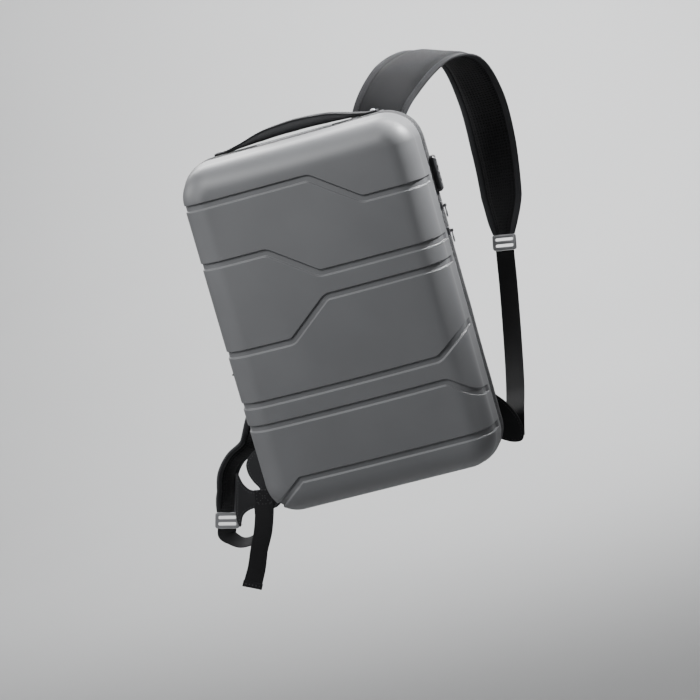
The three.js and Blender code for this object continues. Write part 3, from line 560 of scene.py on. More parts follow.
def extruded(bm, ring, points):
    """The next ring, extruded from a ring of vertices and moved to its points."""
    made = bmesh.ops.extrude_edge_only(bm, edges=ring_edges(bm, ring))["geom"]
    place = {vert: i for i, vert in enumerate(ring)}
    fresh = [None] * len(ring)
    for vert in made:
        if isinstance(vert, bmesh.types.BMVert):
            for edge in vert.link_edges:
                other = edge.other_vert(vert)
                if other in place:
                    fresh[place[other]] = vert
    for vert, point in zip(fresh, points):
        vert.co = point
    return fresh


def lengths_along(path):
    """The length of a path up to each of its points."""
    found = [0.0]
    for one, other in zip(path, path[1:]):
        found.append(found[-1] + (other - one).length)
    return found


def lofted(rings, looped=False, paint_of=None):
    """A bmesh through rings of equally many points, with a UV map in metres round and along it."""
    count = len(rings[0])
    bm = bmesh.new()
    bmesh.ops.create_circle(bm, cap_ends=False, radius=1, segments=count)
    bm.verts.ensure_lookup_table()
    first = ring = list(bm.verts)
    for vert, point in zip(ring, rings[0]):
        vert.co = point
    where = {vert: (0, i) for i, vert in enumerate(ring)}
    for number, points in enumerate(rings[1:] + (rings[:1] if looped else []), 1):
        ring = extruded(bm, ring, points)
        where.update({vert: (number, i) for i, vert in enumerate(ring)})
    middles = [sum(points, Vector()) / count for points in rings]
    round_it = max((lengths_along(points + points[:1]) for points in rings),
                   key=lambda lengths: lengths[-1])
    along_it = lengths_along([points[0] for points in rings + rings[:1]] if looped else middles)
    layer = bm.loops.layers.uv.new("cloth")
    for face in bm.faces:
        spots = [where[loop.vert] for loop in face.loops]
        wraps = {0, count - 1} <= {i for _, i in spots} and count > 2
        for loop, (number, i) in zip(face.loops, spots):
            loop[layer].uv = (round_it[count if wraps and i == 0 else i], along_it[number])
        if paint_of:
            low = count - 1 if wraps else min(i for _, i in spots)
            face.material_index = paint_of(low)
    if looped:
        bmesh.ops.remove_doubles(bm, verts=first + ring, dist=1e-6)
    else:
        for ends in (first, ring):
            bmesh.ops.edgeloop_fill(bm, edges=ring_edges(bm, ends))
    bmesh.ops.recalc_face_normals(bm, faces=bm.faces)
    return bm


def joined(bm, other):
    """Adds the mesh of one bmesh to another."""
    spare = bpy.data.meshes.new("spare")
    other.to_mesh(spare)
    other.free()
    bm.from_mesh(spare)
    bpy.data.meshes.remove(spare)
    return bm


def round_edges(bm, edges, offset, segments):
    """Rounds edges and returns the faces that this makes."""
    return bmesh.ops.bevel(bm, geom=edges, offset=offset, segments=segments, profile=0.5,
                           affect="EDGES", material=-1, clamp_overlap=True)["faces"]


def hard_edges(bm, angle):
    """The edges whose two faces meet at more than an angle."""
    return [edge for edge in bm.edges
            if len(edge.link_faces) == 2 and edge.calc_face_angle(0.0) > angle]


def block(bm, size, place, bevel, segments=1):
    """Adds a box with rounded edges, moved to a place or by a matrix."""
    made = bmesh.ops.create_cube(bm, size=1, matrix=Matrix.Diagonal((*size, 1.0)))["verts"]
    edges = list({edge for vert in made for edge in vert.link_edges})
    verts = {vert for face in round_edges(bm, edges, bevel, segments) for vert in face.verts}
    verts |= {vert for vert in made if vert.is_valid}
    matrix = place if isinstance(place, Matrix) else Matrix.Translation(place)
    bmesh.ops.transform(bm, matrix=matrix, verts=list(verts))


def turned(profile, matrix, steps=32):
    """A body spun from a profile of (radius, height) about its own Z, placed by a matrix."""
    bm = bmesh.new()
    verts = [bm.verts.new((radius, 0, height)) for radius, height in profile]
    edges = [bm.edges.new(pair) for pair in zip(verts, verts[1:])]
    bmesh.ops.spin(bm, geom=verts + edges, cent=(0, 0, 0), axis=(0, 0, 1), angle=math.tau,
                   steps=steps, use_merge=True)
    bmesh.ops.remove_doubles(bm, verts=bm.verts, dist=1e-6)
    bmesh.ops.recalc_face_normals(bm, faces=bm.faces)
    bmesh.ops.transform(bm, matrix=matrix, verts=bm.verts)
    return bm


def cad_copy(node, bevel, segments):
    """A merged copy of a CAD node with its hard edges rounded."""
    bm = bmesh.new()
    bm.from_mesh(frame["nodes"][node].data)
    bmesh.ops.remove_doubles(bm, verts=bm.verts, dist=1e-5)
    bmesh.ops.dissolve_limit(bm, angle_limit=math.radians(1), verts=bm.verts, edges=bm.edges)
    for layer in list(bm.loops.layers.uv.values()):
        bm.loops.layers.uv.remove(layer)
    round_edges(bm, hard_edges(bm, math.radians(30)), bevel, segments)
    return bm


# Outline of the pack
def outline(inset, y, corner_steps=10, end_steps=20, side_steps=30):
    """Points round the pack's outline, moved inward by an inset, at one depth."""
    radius = max(CORNER - inset, 4 * MM)
    across, up = WIDTH / 2 - inset - radius, HEIGHT / 2 - inset - radius

    def corner(quarter, share):
        side, end = ((1, 1), (-1, 1), (-1, -1), (1, -1))[quarter % 4]
        angle = math.radians(90 * (quarter + share))
        return Vector((side * across + radius * math.cos(angle), y,
                       end * up + radius * math.sin(angle)))

    points = []
    for quarter in range(4):
        points.extend(corner(quarter, k / corner_steps) for k in range(corner_steps + 1))
        start, goal = points[-1], corner(quarter + 1, 0)
        steps = side_steps if quarter % 2 else end_steps
        points.extend(start.lerp(goal, k / steps) for k in range(1, steps))
    return points


def band(section, **steps):
    """A closed ring of even section round the pack, from (inset, depth) pairs in metres."""
    return lofted([outline(inset, y, **steps) for inset, y in section], looped=True)


# Shell
def inset_at(x, z):
    """How far a place of the shell's plan lies inside its outline."""
    qx = abs(x) - (WIDTH / 2 - CORNER)
    qz = abs(z) - (HEIGHT / 2 - CORNER)
    return CORNER - math.hypot(max(qx, 0.0), max(qz, 0.0)) - min(max(qx, qz), 0.0)


def shell_rise(x, z):
    """How far the shell stands out from its rim at a place of its plan."""
    inset = max(inset_at(x, z), 0.0)
    crown = CROWN * max(0.0, 1 - (2 * x / WIDTH) ** 2) * max(0.0, 1 - (2 * z / HEIGHT) ** 2)
    if inset < DRAFT:
        return (STRAIGHT + crown) * inset / DRAFT
    if inset < DRAFT + ROLL:
        turn = math.acos(1 - (inset - DRAFT) / ROLL)
        return STRAIGHT + ROLL * math.sin(turn) + crown
    return STRAIGHT + ROLL + crown


def line_at(rows, x):
    """Height of a groove's middle line at x, with its ends carried straight on."""
    points = [(across * WIDTH, up * HEIGHT) for across, up in rows]
    for one, other in zip(points, points[1:]):
        if x <= other[0] or other is points[-1]:
            return one[1] + (other[1] - one[1]) * (x - one[0]) / (other[0] - one[0])


def soft_line(rows, x, blend=3.5 * MM):
    """The line's height and slope at x, with its knees rounded."""
    count = 9
    height = sum(line_at(rows, x + blend * (2 * k / (count - 1) - 1)) for k in range(count)) / count
    slope = (line_at(rows, x + blend) - line_at(rows, x - blend)) / (2 * blend)
    return height, slope


def ring_insets():
    """Insets of the rings from the face over the rolled edge to the rim, with the share of a
    step along the surface that shows in plan."""
    rings = [(DRAFT + ROLL, 1.0)]
    for degrees in range(84, -1, -6):
        turn = math.radians(degrees)
        rings.append((DRAFT + ROLL * (1 - math.cos(turn)), max(math.sin(turn), DRAFT / STRAIGHT)))
    rings.extend((DRAFT * (1 - k / 10), DRAFT / STRAIGHT) for k in range(1, 11))
    return rings


def groove_profile(distance, sizes):
    """Share of the groove's depth at a distance from its middle line."""
    low = sizes.groove_floor / 2
    high = sizes.groove_width / 2
    return smooth((high - distance) / (high - low))


def to_segment(x, z, start, end):
    """The distance from a place of the plan to a straight line between two others."""
    along = Vector((end[0] - start[0], end[1] - start[1]))
    away = Vector((x - start[0], z - start[1]))
    return (away - along * clamped(away.dot(along) / along.length_squared)).length


def ring_reach(place, inset, half, other_half):
    """How far an inset outline reaches along one axis, at a place along the other."""
    beyond = abs(place) - other_half + CORNER
    if beyond <= 0:
        return half - inset
    return half - CORNER + math.sqrt(max((CORNER - inset) ** 2 - beyond ** 2, 0.0))


def shell_grid(sizes):
    """Plan places of the shell's grid, rows by columns, each with its distance from a groove."""
    rings = ring_insets()
    last = len(rings) - 1
    face_x = WIDTH / 2 - rings[0][0]
    face_z = HEIGHT / 2 - 40 * MM
    steps = 92
    columns = [("side", -1, j) for j in range(last, 0, -1)]
    columns += [("face", 0, -face_x + 2 * face_x * k / steps) for k in range(steps + 1)]
    columns += [("side", 1, j) for j in range(1, last + 1)]
    half = sizes.groove_width / 2
    offsets = [half * share for share in (0.3, 0.56, 0.67, 0.75, 0.83, 0.91, 1.0, 1.12)]
    offsets = [-value for value in reversed(offsets)] + [0.0] + offsets
    rows = [("edge", -face_z, None)]
    lines = list(reversed(GROOVES))
    for number, gap in enumerate((1, 9, 8, 10, 12, 10)):
        rows += [("between", number, k / (gap + 1)) for k in range(1, gap + 1)]
        rows += [("groove", number, value) for value in offsets]
    rows += [("between", len(lines), 0.5), ("edge", face_z, None)]

    def column_x(column):
        kind, side, value = column
        return value if kind == "face" else side * (WIDTH / 2 - rings[value][0])

    def on_groove(number, column, distance):
        x = column_x(column)
        spread = 1.0 if column[0] == "face" else rings[column[2]][1]
        height, slope = soft_line(lines[number], x)
        slope *= spread
        norm = math.hypot(1.0, slope)
        return x - distance * slope / norm * spread, height + distance / norm

    def middle_place(row, column):
        kind, number, value = row
        away = 1.0
        if kind == "edge":
            spot = (column_x(column), number)
        elif kind == "groove":
            spot = on_groove(number, column, value)
            # The lowest groove stops where the one over the corner begins
            if number or spot[0] >= CORNER_GROOVE[0][0] * WIDTH:
                away = abs(value)
        else:
            low = (on_groove(number - 1, column, offsets[-1]) if number
                   else middle_place(rows[0], column)[0])
            high = (on_groove(number, column, offsets[0]) if number < len(lines)
                    else middle_place(rows[-1], column)[0])
            spot = (low[0] + (high[0] - low[0]) * value, low[1] + (high[1] - low[1]) * value)
        if column[0] == "side" and abs(spot[1]) > HEIGHT / 2 - CORNER:
            reach = ring_reach(spot[1], rings[column[2]][0], WIDTH / 2, HEIGHT / 2)
            spot = (column[1] * reach, spot[1])
        return spot, away

    def corner_place(end, j, column):
        kind, side, value = column
        if kind == "face":
            return (value, end * ring_reach(value, rings[j][0], HEIGHT / 2, WIDTH / 2)), 1.0
        ring = max(j, value)
        radius = CORNER - rings[ring][0]
        low = math.asin(min((face_z - HEIGHT / 2 + CORNER) / radius, 1.0))
        high = math.acos(min((face_x - WIDTH / 2 + CORNER) / radius, 1.0))
        step = j if value >= j else 2 * ring - value
        angle = low + (high - low) * step / (2 * ring)
        return (side * (WIDTH / 2 - CORNER + radius * math.cos(angle)),
                end * (HEIGHT / 2 - CORNER + radius * math.sin(angle))), 1.0

    grid = [[corner_place(-1, j, column) for column in columns] for j in range(last, 0, -1)]
    grid += [[middle_place(row, column) for column in columns] for row in rows]
    grid += [[corner_place(1, j, column) for column in columns] for j in range(1, last + 1)]
    return grid


def shell_bmesh(sizes):
    """The shell's outer face, laid out in plan, raised to its form and grooved."""
    grid = shell_grid(sizes)
    bm = bmesh.new()
    across, up = len(grid[0]), len(grid)
    bmesh.ops.create_grid(bm, x_segments=across - 1, y_segments=up - 1, size=1)
    bm.verts.ensure_lookup_table()
    away = bm.verts.layers.float.new("away")
    for i, vert in enumerate(bm.verts):
        (x, z), distance = grid[i // across][i % across]
        vert.co = (x, 0, z)
        vert[away] = distance
    start, end = ((share * WIDTH, rise * HEIGHT) for share, rise in CORNER_GROOVE)
    near = [edge for edge in bm.edges
            if all(to_segment(v.co.x, v.co.z, start, end) < 9 * MM for v in edge.verts)
            and (edge.verts[0].co - edge.verts[1].co).length > 1.2 * MM]
    bmesh.ops.subdivide_edges(bm, edges=near, cuts=3, use_grid_fill=True)
    bm.normal_update()
    for vert in bm.verts:
        vert.co.y = RIM_Y - shell_rise(vert.co.x, vert.co.z)
    bmesh.ops.recalc_face_normals(bm, faces=bm.faces)
    if sum(face.normal.y * face.calc_area() for face in bm.faces) > 0:
        bmesh.ops.reverse_faces(bm, faces=bm.faces)
    bm.normal_update()
    moves = {}
    for vert in bm.verts:
        x, y, z = vert.co
        share = groove_profile(vert[away], sizes) if vert[away] < 0.5 else 0.0
        share = max(share, groove_profile(to_segment(x, z, start, end), sizes))
        if share:
            fade = smooth((RIM_Y - y - RIM_GAP) / (4 * MM))
            moves[vert] = vert.normal * (-sizes.groove_depth * share * fade)
    for vert, move in moves.items():
        vert.co += move
    return bm


def build_shell(sizes):
    made = set_piece("shell", shell_bmesh(sizes), ["shell"], replaces=["front_shell"],
                     sharp=0)
    wall = made.modifiers.new("Wall", "SOLIDIFY")
    wall.thickness = WALL
    wall.offset = -1


# Rim, zip tape and coil
def build_rim(sizes):
    low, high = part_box("rim_strip")
    section = []
    for k in range(10):
        angle = math.pi * (k / 9 - 0.5)
        section.append((0.9 * MM - 1.4 * MM * math.cos(angle),
                        (low.y + high.y) / 2 + (high.y - low.y) / 2 * math.sin(angle)))
    section += [(2.5 * MM, high.y - 0.1 * MM), (2.5 * MM, low.y + 0.1 * MM)]
    set_piece("rim_moulding", band(section), ["rim"], replaces=["rim_strip"], sharp=50)

    low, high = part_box("zip_tape")
    inset = 2.5 * MM
    ribs = []
    for k in range(13):
        swell = 0.28 * MM * math.cos(k / 12 * math.tau * 2)
        ribs.append((inset + 0.35 * MM - swell, low.y + (high.y - low.y) * k / 12))
    ribs += [(inset + 1.5 * MM, high.y), (inset + 1.5 * MM, low.y)]
    set_piece("zip_tapes", band(ribs), ["tape"], replaces=["zip_tape"], sharp=60)

    low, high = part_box("zip_coil")
    y = (low.y + high.y) / 2
    core = band([(0.9 * MM, y - 1.4 * MM), (0.9 * MM, y + 1.4 * MM),
                 (2.1 * MM, y + 2.2 * MM), (2.1 * MM, y - 2.2 * MM)])
    path = outline(1.3 * MM, y, corner_steps=12, end_steps=30, side_steps=40)
    teeth = bmesh.new()
    for number, (spot, along, outward) in enumerate(stations(path, sizes.tooth_pitch)):
        side = 1 if number % 2 else -1
        spot = spot + Vector((0, side * 0.65 * MM, 0)) + outward * 0.1 * MM
        basis = Matrix((along, Vector((0, 1, 0)), outward)).transposed().to_4x4()
        block(teeth, (sizes.tooth_pitch * 0.42, 3.0 * MM, 1.5 * MM),
              Matrix.Translation(spot) @ basis @ Matrix.Rotation(0.12 * side, 4, "Y"), 0.35 * MM)
    set_piece("zip_teeth", joined(core, teeth), ["coil"], replaces=["zip_coil"], sharp=60)


def stations(path, pitch):
    """Places at an even pitch round a closed path, each with its direction and an outward one."""
    points = path + path[:1]
    lengths = lengths_along(points)
    count = round(lengths[-1] / pitch)
    found = []
    index = 0
    for k in range(count):
        goal = k * lengths[-1] / count
        while index < len(lengths) - 2 and lengths[index + 1] < goal:
            index += 1
        along = (points[index + 1] - points[index]).normalized()
        outward = Vector((along.z, 0, -along.x)).normalized()
        found.append((points[index] + along * (goal - lengths[index]), along, outward))
    return found


def stitch_rows(name, rows, sizes, length=2.7 * MM, thick=0.55 * MM):
    """Rows of stitches. Each row is a path of points with the outward direction at each."""
    bm = bmesh.new()
    for path, outs in rows:
        lengths = lengths_along(path)
        count = max(1, int(lengths[-1] / sizes.stitch_pitch))
        index = 0
        for k in range(count):
            goal = (k + 0.5) * lengths[-1] / count
            while index < len(lengths) - 2 and lengths[index + 1] < goal:
                index += 1
            share = (goal - lengths[index]) / max(lengths[index + 1] - lengths[index], 1e-9)
            spot = path[index].lerp(path[index + 1], share)
            along = (path[index + 1] - path[index]).normalized()
            out = outs[index].lerp(outs[index + 1], share).normalized()
            side = out.cross(along).normalized()
            basis = Matrix((along, side, along.cross(side))).transposed().to_4x4()
            size = Matrix.Diagonal((length / 2, thick / 2, thick / 2.6, 1.0))
            bmesh.ops.create_icosphere(bm, subdivisions=1, radius=1,
                                       matrix=Matrix.Translation(spot) @ basis @ size)
    set_piece(name, bm, ["thread"], sharp=0)


# Straps
def strip_rows(table, width, thick):
    """Rows of a strap table as centre points, widths, thicknesses and width directions."""
    return [
        (Vector((across * WIDTH, out * LOOP_DEPTH, up * HEIGHT)), wide * width, deep * thick,
         Vector(side).normalized())
        for across, out, up, wide, deep, side in table
    ]


def curve_point(points, share):
    """A point of a centripetal Catmull-Rom curve through the points, at a share of its rows."""
    last = len(points) - 1
    i = min(int(share * last), last - 1)
    w = share * last - i
    p1, p2 = points[i], points[i + 1]
    p0 = points[i - 1] if i > 0 else p1 * 2 - p2
    p3 = points[i + 2] if i + 2 <= last else p2 * 2 - p1
    d0, d1, d2 = ((b - a).length_squared ** 0.25 for a, b in ((p0, p1), (p1, p2), (p2, p3)))
    m1 = ((p1 - p0) / d0 - (p2 - p0) / (d0 + d1) + (p2 - p1) / d1) * d1
    m2 = ((p2 - p1) / d1 - (p3 - p1) / (d1 + d2) + (p3 - p2) / d2) * d1
    c2 = (p2 - p1) * 3 - m1 * 2 - m2
    c3 = (p1 - p2) * 2 + m1 + m2
    return p1 + m1 * w + c2 * w * w + c3 * w ** 3


def strip_frames(rows, steps):
    """Stations of a strip: centre, width direction, outward direction, width, thickness."""
    points = [row[0] for row in rows]
    last = len(rows) - 1
    frames = []
    for k in range(last * steps + 1):
        share = k / (last * steps)
        row = min(k // steps, last - 1)
        part = k / steps - row
        near = curve_point(points, max(share - 1e-4, 0.0))
        far = curve_point(points, min(share + 1e-4, 1.0))
        along = (far - near).normalized()
        wide = rows[row][3].lerp(rows[row + 1][3], part)
        wide = (wide - along * wide.dot(along)).normalized()
        width, thick = (rows[row][i] + (rows[row + 1][i] - rows[row][i]) * part for i in (1, 2))
        frames.append((curve_point(points, share), wide, wide.cross(along).normalized(),
                       width, thick))
    return frames


def bound_edge(width, thick, binding):
    """How far a strap's binding reaches in from its edge, and how thick the edge is."""
    return min(binding, width * 0.2), min(1.9 * MM, thick * 0.28)


def padded_section(width, thick, binding):
    """A padded strap's section from one edge over the outer face to the other and back, as
    (across, out, paint). The paints are 0 outer cloth, 1 binding and 2 inner mesh."""
    half, full = width / 2, thick / 2
    lip, edge = bound_edge(width, thick, binding)
    side = [
        (half - 0.25 * MM, edge * 0.65, 1), (half - 1.0 * MM, edge, 1),
        (half - lip * 0.5, edge * 1.12, 1), (half - lip + 0.5 * MM, edge * 1.2, 1),
        (half - lip, edge * 0.95, 1), (half - lip - 0.3 * MM, edge * 0.7, 0),
        (half - lip - 1.4 * MM, edge * 0.95, 0), (half - lip * 1.5, full * 0.72, 0),
        (half - lip * 2.0, full * 0.9, 0), ((half - lip * 2.0) * 0.55, full * 0.98, 0),
    ]
    other = [(-a, d, p) for a, d, p in reversed(side)]
    over = side + [(0.0, full, 0)] + other
    under = [(-a, -d, p or 2) for a, d, p in over]
    return [(half, 0.0, 1)] + over + [(-half, 0.0, 1)] + under


def strap_pad(name, table, node, sizes, seed):
    """A padded shoulder strap, bound at its edges and sewn along and across."""
    frames = strip_frames(strip_rows(table, STRAP_WIDTH, STRAP_THICK), 8)
    rings = []
    for here, wide, out, width, thick in frames:
        section = padded_section(width, thick, sizes.binding)
        inner = width / 2 - sizes.binding
        ring = []
        for a, d, _ in section:
            point = here + wide * a + out * d
            pad = 1 - (abs(a) / inner) ** 4 if abs(a) < inner else 0.0
            ripple = noise.noise(point * 28 + Vector((seed, 0, 0))) * 0.9 * MM
            ring.append(point + out * (ripple * pad * (1 if d > 0 else -1)))
        rings.append(ring)
    paints = [paint for _, _, paint in section]

    def paint_of(i):
        pair = (paints[i], paints[(i + 1) % len(paints)])
        return 1 if 1 in pair else max(pair)

    made = set_piece(name, lofted(rings, paint_of=paint_of), ["strap", "binding", "mesh"],
                     replaces=[node], sharp=60)
    rows = []
    for side in (-1, 1):
        path, outs = [], []
        for here, wide, out, width, thick in frames[1:-1]:
            lip, edge = bound_edge(width, thick, sizes.binding)
            path.append(here + wide * side * (width / 2 - lip + 1.4 * MM)
                        + out * (edge * 1.2 + 0.1 * MM))
            outs.append(out)
        rows.append((path, outs))
    for spot in (2, 4, -4):
        here, wide, out, width, thick = frames[spot]
        reach = width / 2 - sizes.binding
        path = [here + wide * reach * (k / 5 - 1) + out * (thick / 2 + 0.5 * MM) for k in range(11)]
        rows.append((path, [out] * 11))
    stitch_rows(name + "_stitches", rows, sizes)


def build_straps(sizes):
    for side, table, seed in (("right", RIGHT_PAD, 1.0), ("left", LEFT_PAD, 7.0)):
        strap_pad("shoulder_strap_" + side, table, "strap_pad_" + side, sizes, seed)


# Case, panel and pads
def project_cloth(bm):
    """A cloth UV map in metres, laid on each face along the two axes that it faces least."""
    layer = bm.loops.layers.uv.get("cloth") or bm.loops.layers.uv.new("cloth")
    bm.normal_update()
    for face in bm.faces:
        normal = [abs(part) for part in face.normal]
        first, second = [axis for axis in range(3) if axis != normal.index(max(normal))]
        for loop in face.loops:
            loop[layer].uv = (loop.vert.co[first], loop.vert.co[second])
    return bm


def build_case(sizes):
    low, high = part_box("rear_case")
    front, back = low.y, high.y
    inset = WIDTH / 2 - high.x
    wall, bend = CASE_WALL, CASE_BEND
    section = [(inset + 40 * MM, back - wall), (inset + bend, back - wall),
               (inset + wall + 2 * MM, back - bend), (inset + wall, back - 2 * bend),
               (inset + wall, front), (inset + 0.5 * MM, front), (inset, front + 0.6 * MM)]
    inside = len(section)
    wall_steps = 14
    pipe = back - bend - 5 * MM
    for k in range(1, wall_steps + 1):
        share = k / wall_steps
        swell = GUSSET_SWELL * math.sin(share / 0.62 * math.pi) ** 0.8 if share < 0.62 else 0.0
        section.append((inset + 0.55 * MM - swell - 0.55 * MM * math.sin(share * math.pi),
                        front + (pipe - front) * share))
    for k in range(7):
        angle = math.pi * k / 6
        section.append((inset + 0.9 * MM - 1.4 * MM * math.sin(angle),
                        pipe + 0.5 * MM + 1.6 * MM * (1 - math.cos(angle))))
    for degrees in range(10, 91, 10):
        turn = math.radians(degrees)
        section.append((inset + bend * (1 - math.cos(turn)) + 0.4 * MM,
                        back - bend + bend * math.sin(turn)))
    section += [(inset + bend + 5 * MM, back), (inset + 30 * MM, back), (inset + 50 * MM, back)]
    rings = []
    for number, (deep, y) in enumerate(section):
        ring = outline(deep, y, *CASE_STEPS)
        if inside < number < len(section) - 4:
            for point in ring:
                out = Vector((point.x, 0, point.z)).normalized()
                soft = noise.noise(Vector((point.x * 20, point.y * 30, point.z * 20)))
                fold = noise.noise(Vector((point.x * 55, point.y * 12 + 3, point.z * 55)))
                point += out * (soft * 0.5 + fold * 0.25) * MM
        rings.append(ring)
    bm = lofted(rings)
    # The band of the case next to the shell gets the lighter copy of the case cloth as painted
    # light; the rest stays dark, as in shadow.
    for face in bm.faces:
        face.material_index = int(face.calc_center_median().y < front + PAINTED_LIGHT_BAND)
    set_piece("soft_case", bm, ["case", "gusset"], replaces=["rear_case"], sharp=50)
    rows = []
    for deep, y in ((inset - 2.3 * MM, front + 4.6 * MM), (inset - 0.3 * MM, pipe - 2.5 * MM)):
        ring = outline(deep, y, *CASE_STEPS)
        outs = [Vector((p.x, 0, p.z)).normalized() for p in ring]
        rows.append((ring + ring[:1], outs + outs[:1]))
    stitch_rows("case_stitches", rows, sizes)
    build_panel(sizes)
    for node, side in (("back_pad_left", -1), ("back_pad_right", 1)):
        back_pad(node, side, sizes)


def build_panel(sizes):
    low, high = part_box("back_panel")
    inset = WIDTH / 2 - high.x
    section = [(60, low.y), (0.6, low.y), (0, low.y + 0.7 * MM), (0, high.y - 0.9 * MM),
               (0.8, high.y - 0.1 * MM), (4, high.y), (5, high.y - 0.9 * MM),
               (6, high.y - 0.9 * MM), (7, high.y - 0.1 * MM), (60, high.y)]
    bm = project_cloth(lofted([outline(inset + deep * MM, y) for deep, y in section]))
    set_piece("panel", bm, ["panel"], replaces=["back_panel"], sharp=50)
    ring = outline(inset + 2.4 * MM, high.y)
    up = [Vector((0, 1, 0))] * (len(ring) + 1)
    stitch_rows("panel_stitches", [(ring + ring[:1], up)], sizes)


def round_corner(across, up, half_across, half_up, radius):
    """A place of a rectangle's grid moved into the same rectangle with round corners, and its
    distance from the edge."""
    p = abs(across) - (half_across - radius)
    q = abs(up) - (half_up - radius)
    if p > 0 and q > 0:
        share = max(p, q) / math.hypot(p, q)
        p, q = p * share, q * share
        across = math.copysign(half_across - radius + p, across)
        up = math.copysign(half_up - radius + q, up)
        return across, up, radius - math.hypot(p, q)
    return across, up, min(half_across - abs(across), half_up - abs(up))


def swollen(bm, cap):
    """The closed mesh remeshed and puffed up as cloth under pressure, no point moving past cap."""
    scene = bpy.context.scene
    mesh = bpy.data.meshes.new("pad core")
    bm.to_mesh(mesh)
    bm.free()
    core = placed("pad core", mesh)
    voxels = core.modifiers.new("voxels", "REMESH")
    voxels.mode = "VOXEL"
    voxels.voxel_size = PAD_VOXEL
    graph = bpy.context.evaluated_depsgraph_get()
    core.data = bpy.data.meshes.new_from_object(core.evaluated_get(graph))
    core.modifiers.clear()
    found = bmesh.new()
    found.from_mesh(core.data)
    cloth = core.modifiers.new("cloth", "CLOTH")
    cloth.settings.use_pressure = True
    cloth.settings.uniform_pressure_force = CLOTH_PRESSURE
    cloth.settings.effector_weights.gravity = 0
    cloth.point_cache.frame_start, cloth.point_cache.frame_end = 1, CLOTH_FRAMES
    for frame in range(1, CLOTH_FRAMES + 1):
        scene.frame_set(frame)
    moved = core.evaluated_get(bpy.context.evaluated_depsgraph_get()).data.vertices
    for vert, after in zip(found.verts, moved):
        step = after.co - vert.co
        vert.co += step * min(1.0, cap / max(step.length, 1e-9))
    scene.frame_set(1)
    bpy.data.objects.remove(core)
    bmesh.ops.subdivide_edges(found, edges=found.edges, cuts=1, use_grid_fill=True)
    bmesh.ops.smooth_vert(found, verts=found.verts, factor=0.5, use_axis_x=True, use_axis_y=True,
                          use_axis_z=True)
    return found


def back_pad(node, side, sizes):
    """A padded panel in open mesh: puffed up as cloth, then sewn into cells, with a bound edge."""
    low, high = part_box(node)
    middle = (low + high) / 2
    half_x, half_z = (high.x - low.x) / 2, (high.z - low.z) / 2
    corner, seam = PAD_CORNER, PAD_SEAM
    bm = bmesh.new()
    bmesh.ops.create_grid(bm, x_segments=22, y_segments=60, size=1)
    for vert in bm.verts:
        across, up, edge = round_corner(vert.co.x * (half_x - MM), vert.co.y * (half_z - MM),
                                        half_x - MM, half_z - MM, corner)
        lift = min(edge / (14 * MM), 1.0)
        vert.co = (middle.x + across, high.y - 2.6 * MM - 4.6 * MM * (1 - lift) ** 2, middle.z + up)
    border = [edge for edge in bm.edges if edge.is_boundary]
    for item in bmesh.ops.extrude_edge_only(bm, edges=border)["geom"]:
        if isinstance(item, bmesh.types.BMVert):
            item.co.y = low.y + 0.3 * MM
    bmesh.ops.edgeloop_fill(bm, edges=[edge for edge in bm.edges if edge.is_boundary])
    bmesh.ops.recalc_face_normals(bm, faces=bm.faces)
    bm = swollen(bm, PAD_PUFF)
    bmesh.ops.subdivide_edges(bm, edges=bm.edges, cuts=1, use_grid_fill=True)
    channels = [middle.z + share * half_z for share in (-0.5, 0.0, 0.5)]
    for vert in bm.verts:
        across, up, edge = round_corner(vert.co.x - middle.x, vert.co.z - middle.z, half_x, half_z,
                                        corner)
        if edge < 0:
            across, up = across * (1 + edge / half_x), up * (1 + edge / half_z)
        y = vert.co.y
        front = clamped((y - middle.y + 2 * MM) / (3 * MM))
        dip = 0.0
        if edge < seam:
            top = high.y - 6.0 * MM + 0.9 * MM * math.sin(clamped(edge / seam) * math.pi)
            y += (min(y, top) - y) * front
        else:
            rise = min((edge - seam) / (7 * MM), 1.0)
            y -= (y - high.y + 6.0 * MM) * (1 - rise) ** 2 * front
            for line in channels:
                slant = abs(across) * 0.12 * (1 if line >= middle.z else -1)
                away = (middle.z + up + slant - line) / (3.4 * MM)
                dip += 4.0 * MM * math.exp(-away ** 2) * rise
            dip += (0.3 + 0.5 * noise.noise(Vector((across * 40, up * 40, side * 5.0)))) * MM
        vert.co = (middle.x + across, min(max(y - dip * front, low.y + 0.1 * MM), high.y),
                   middle.z + up)
    bmesh.ops.recalc_face_normals(bm, faces=bm.faces)
    project_cloth(bm)
    for face in bm.faces:
        spot = face.calc_center_median()
        edge = round_corner(spot.x - middle.x, spot.z - middle.z, half_x, half_z, corner)[2]
        face.material_index = int(edge < seam)
    made = set_piece(node + "_padded", bm, ["mesh", "binding"], replaces=[node],
                     sharp=60)
    ring = []
    count = 160
    for k in range(count + 1):
        angle = math.tau * k / count
        s, c = math.sin(angle), math.cos(angle)
        reach = min(half_x / max(abs(c), 1e-6), half_z / max(abs(s), 1e-6))
        across, up, _ = round_corner(c * reach, s * reach, half_x, half_z, corner)
        inward = Vector((across, 0, up)).normalized() * -5.2 * MM
        ring.append(Vector((middle.x + across, high.y - 5.3 * MM, middle.z + up)) + inward)
    outs = [Vector((0, 1, 0))] * len(ring)
    stitch_rows(node + "_stitches", [(ring, outs)], sizes)


# Wings
def smooth_outline(points, steps=5):
    """A closed outline with its points joined by soft curves that keep the sharp ones."""
    found = []
    for i in range(len(points)):
        near = [points[(i + k) % len(points)] for k in (-1, 0, 1, 2)]
        found.extend(curve_point(near, (1 + k / steps) / 3) for k in range(steps))
    return found


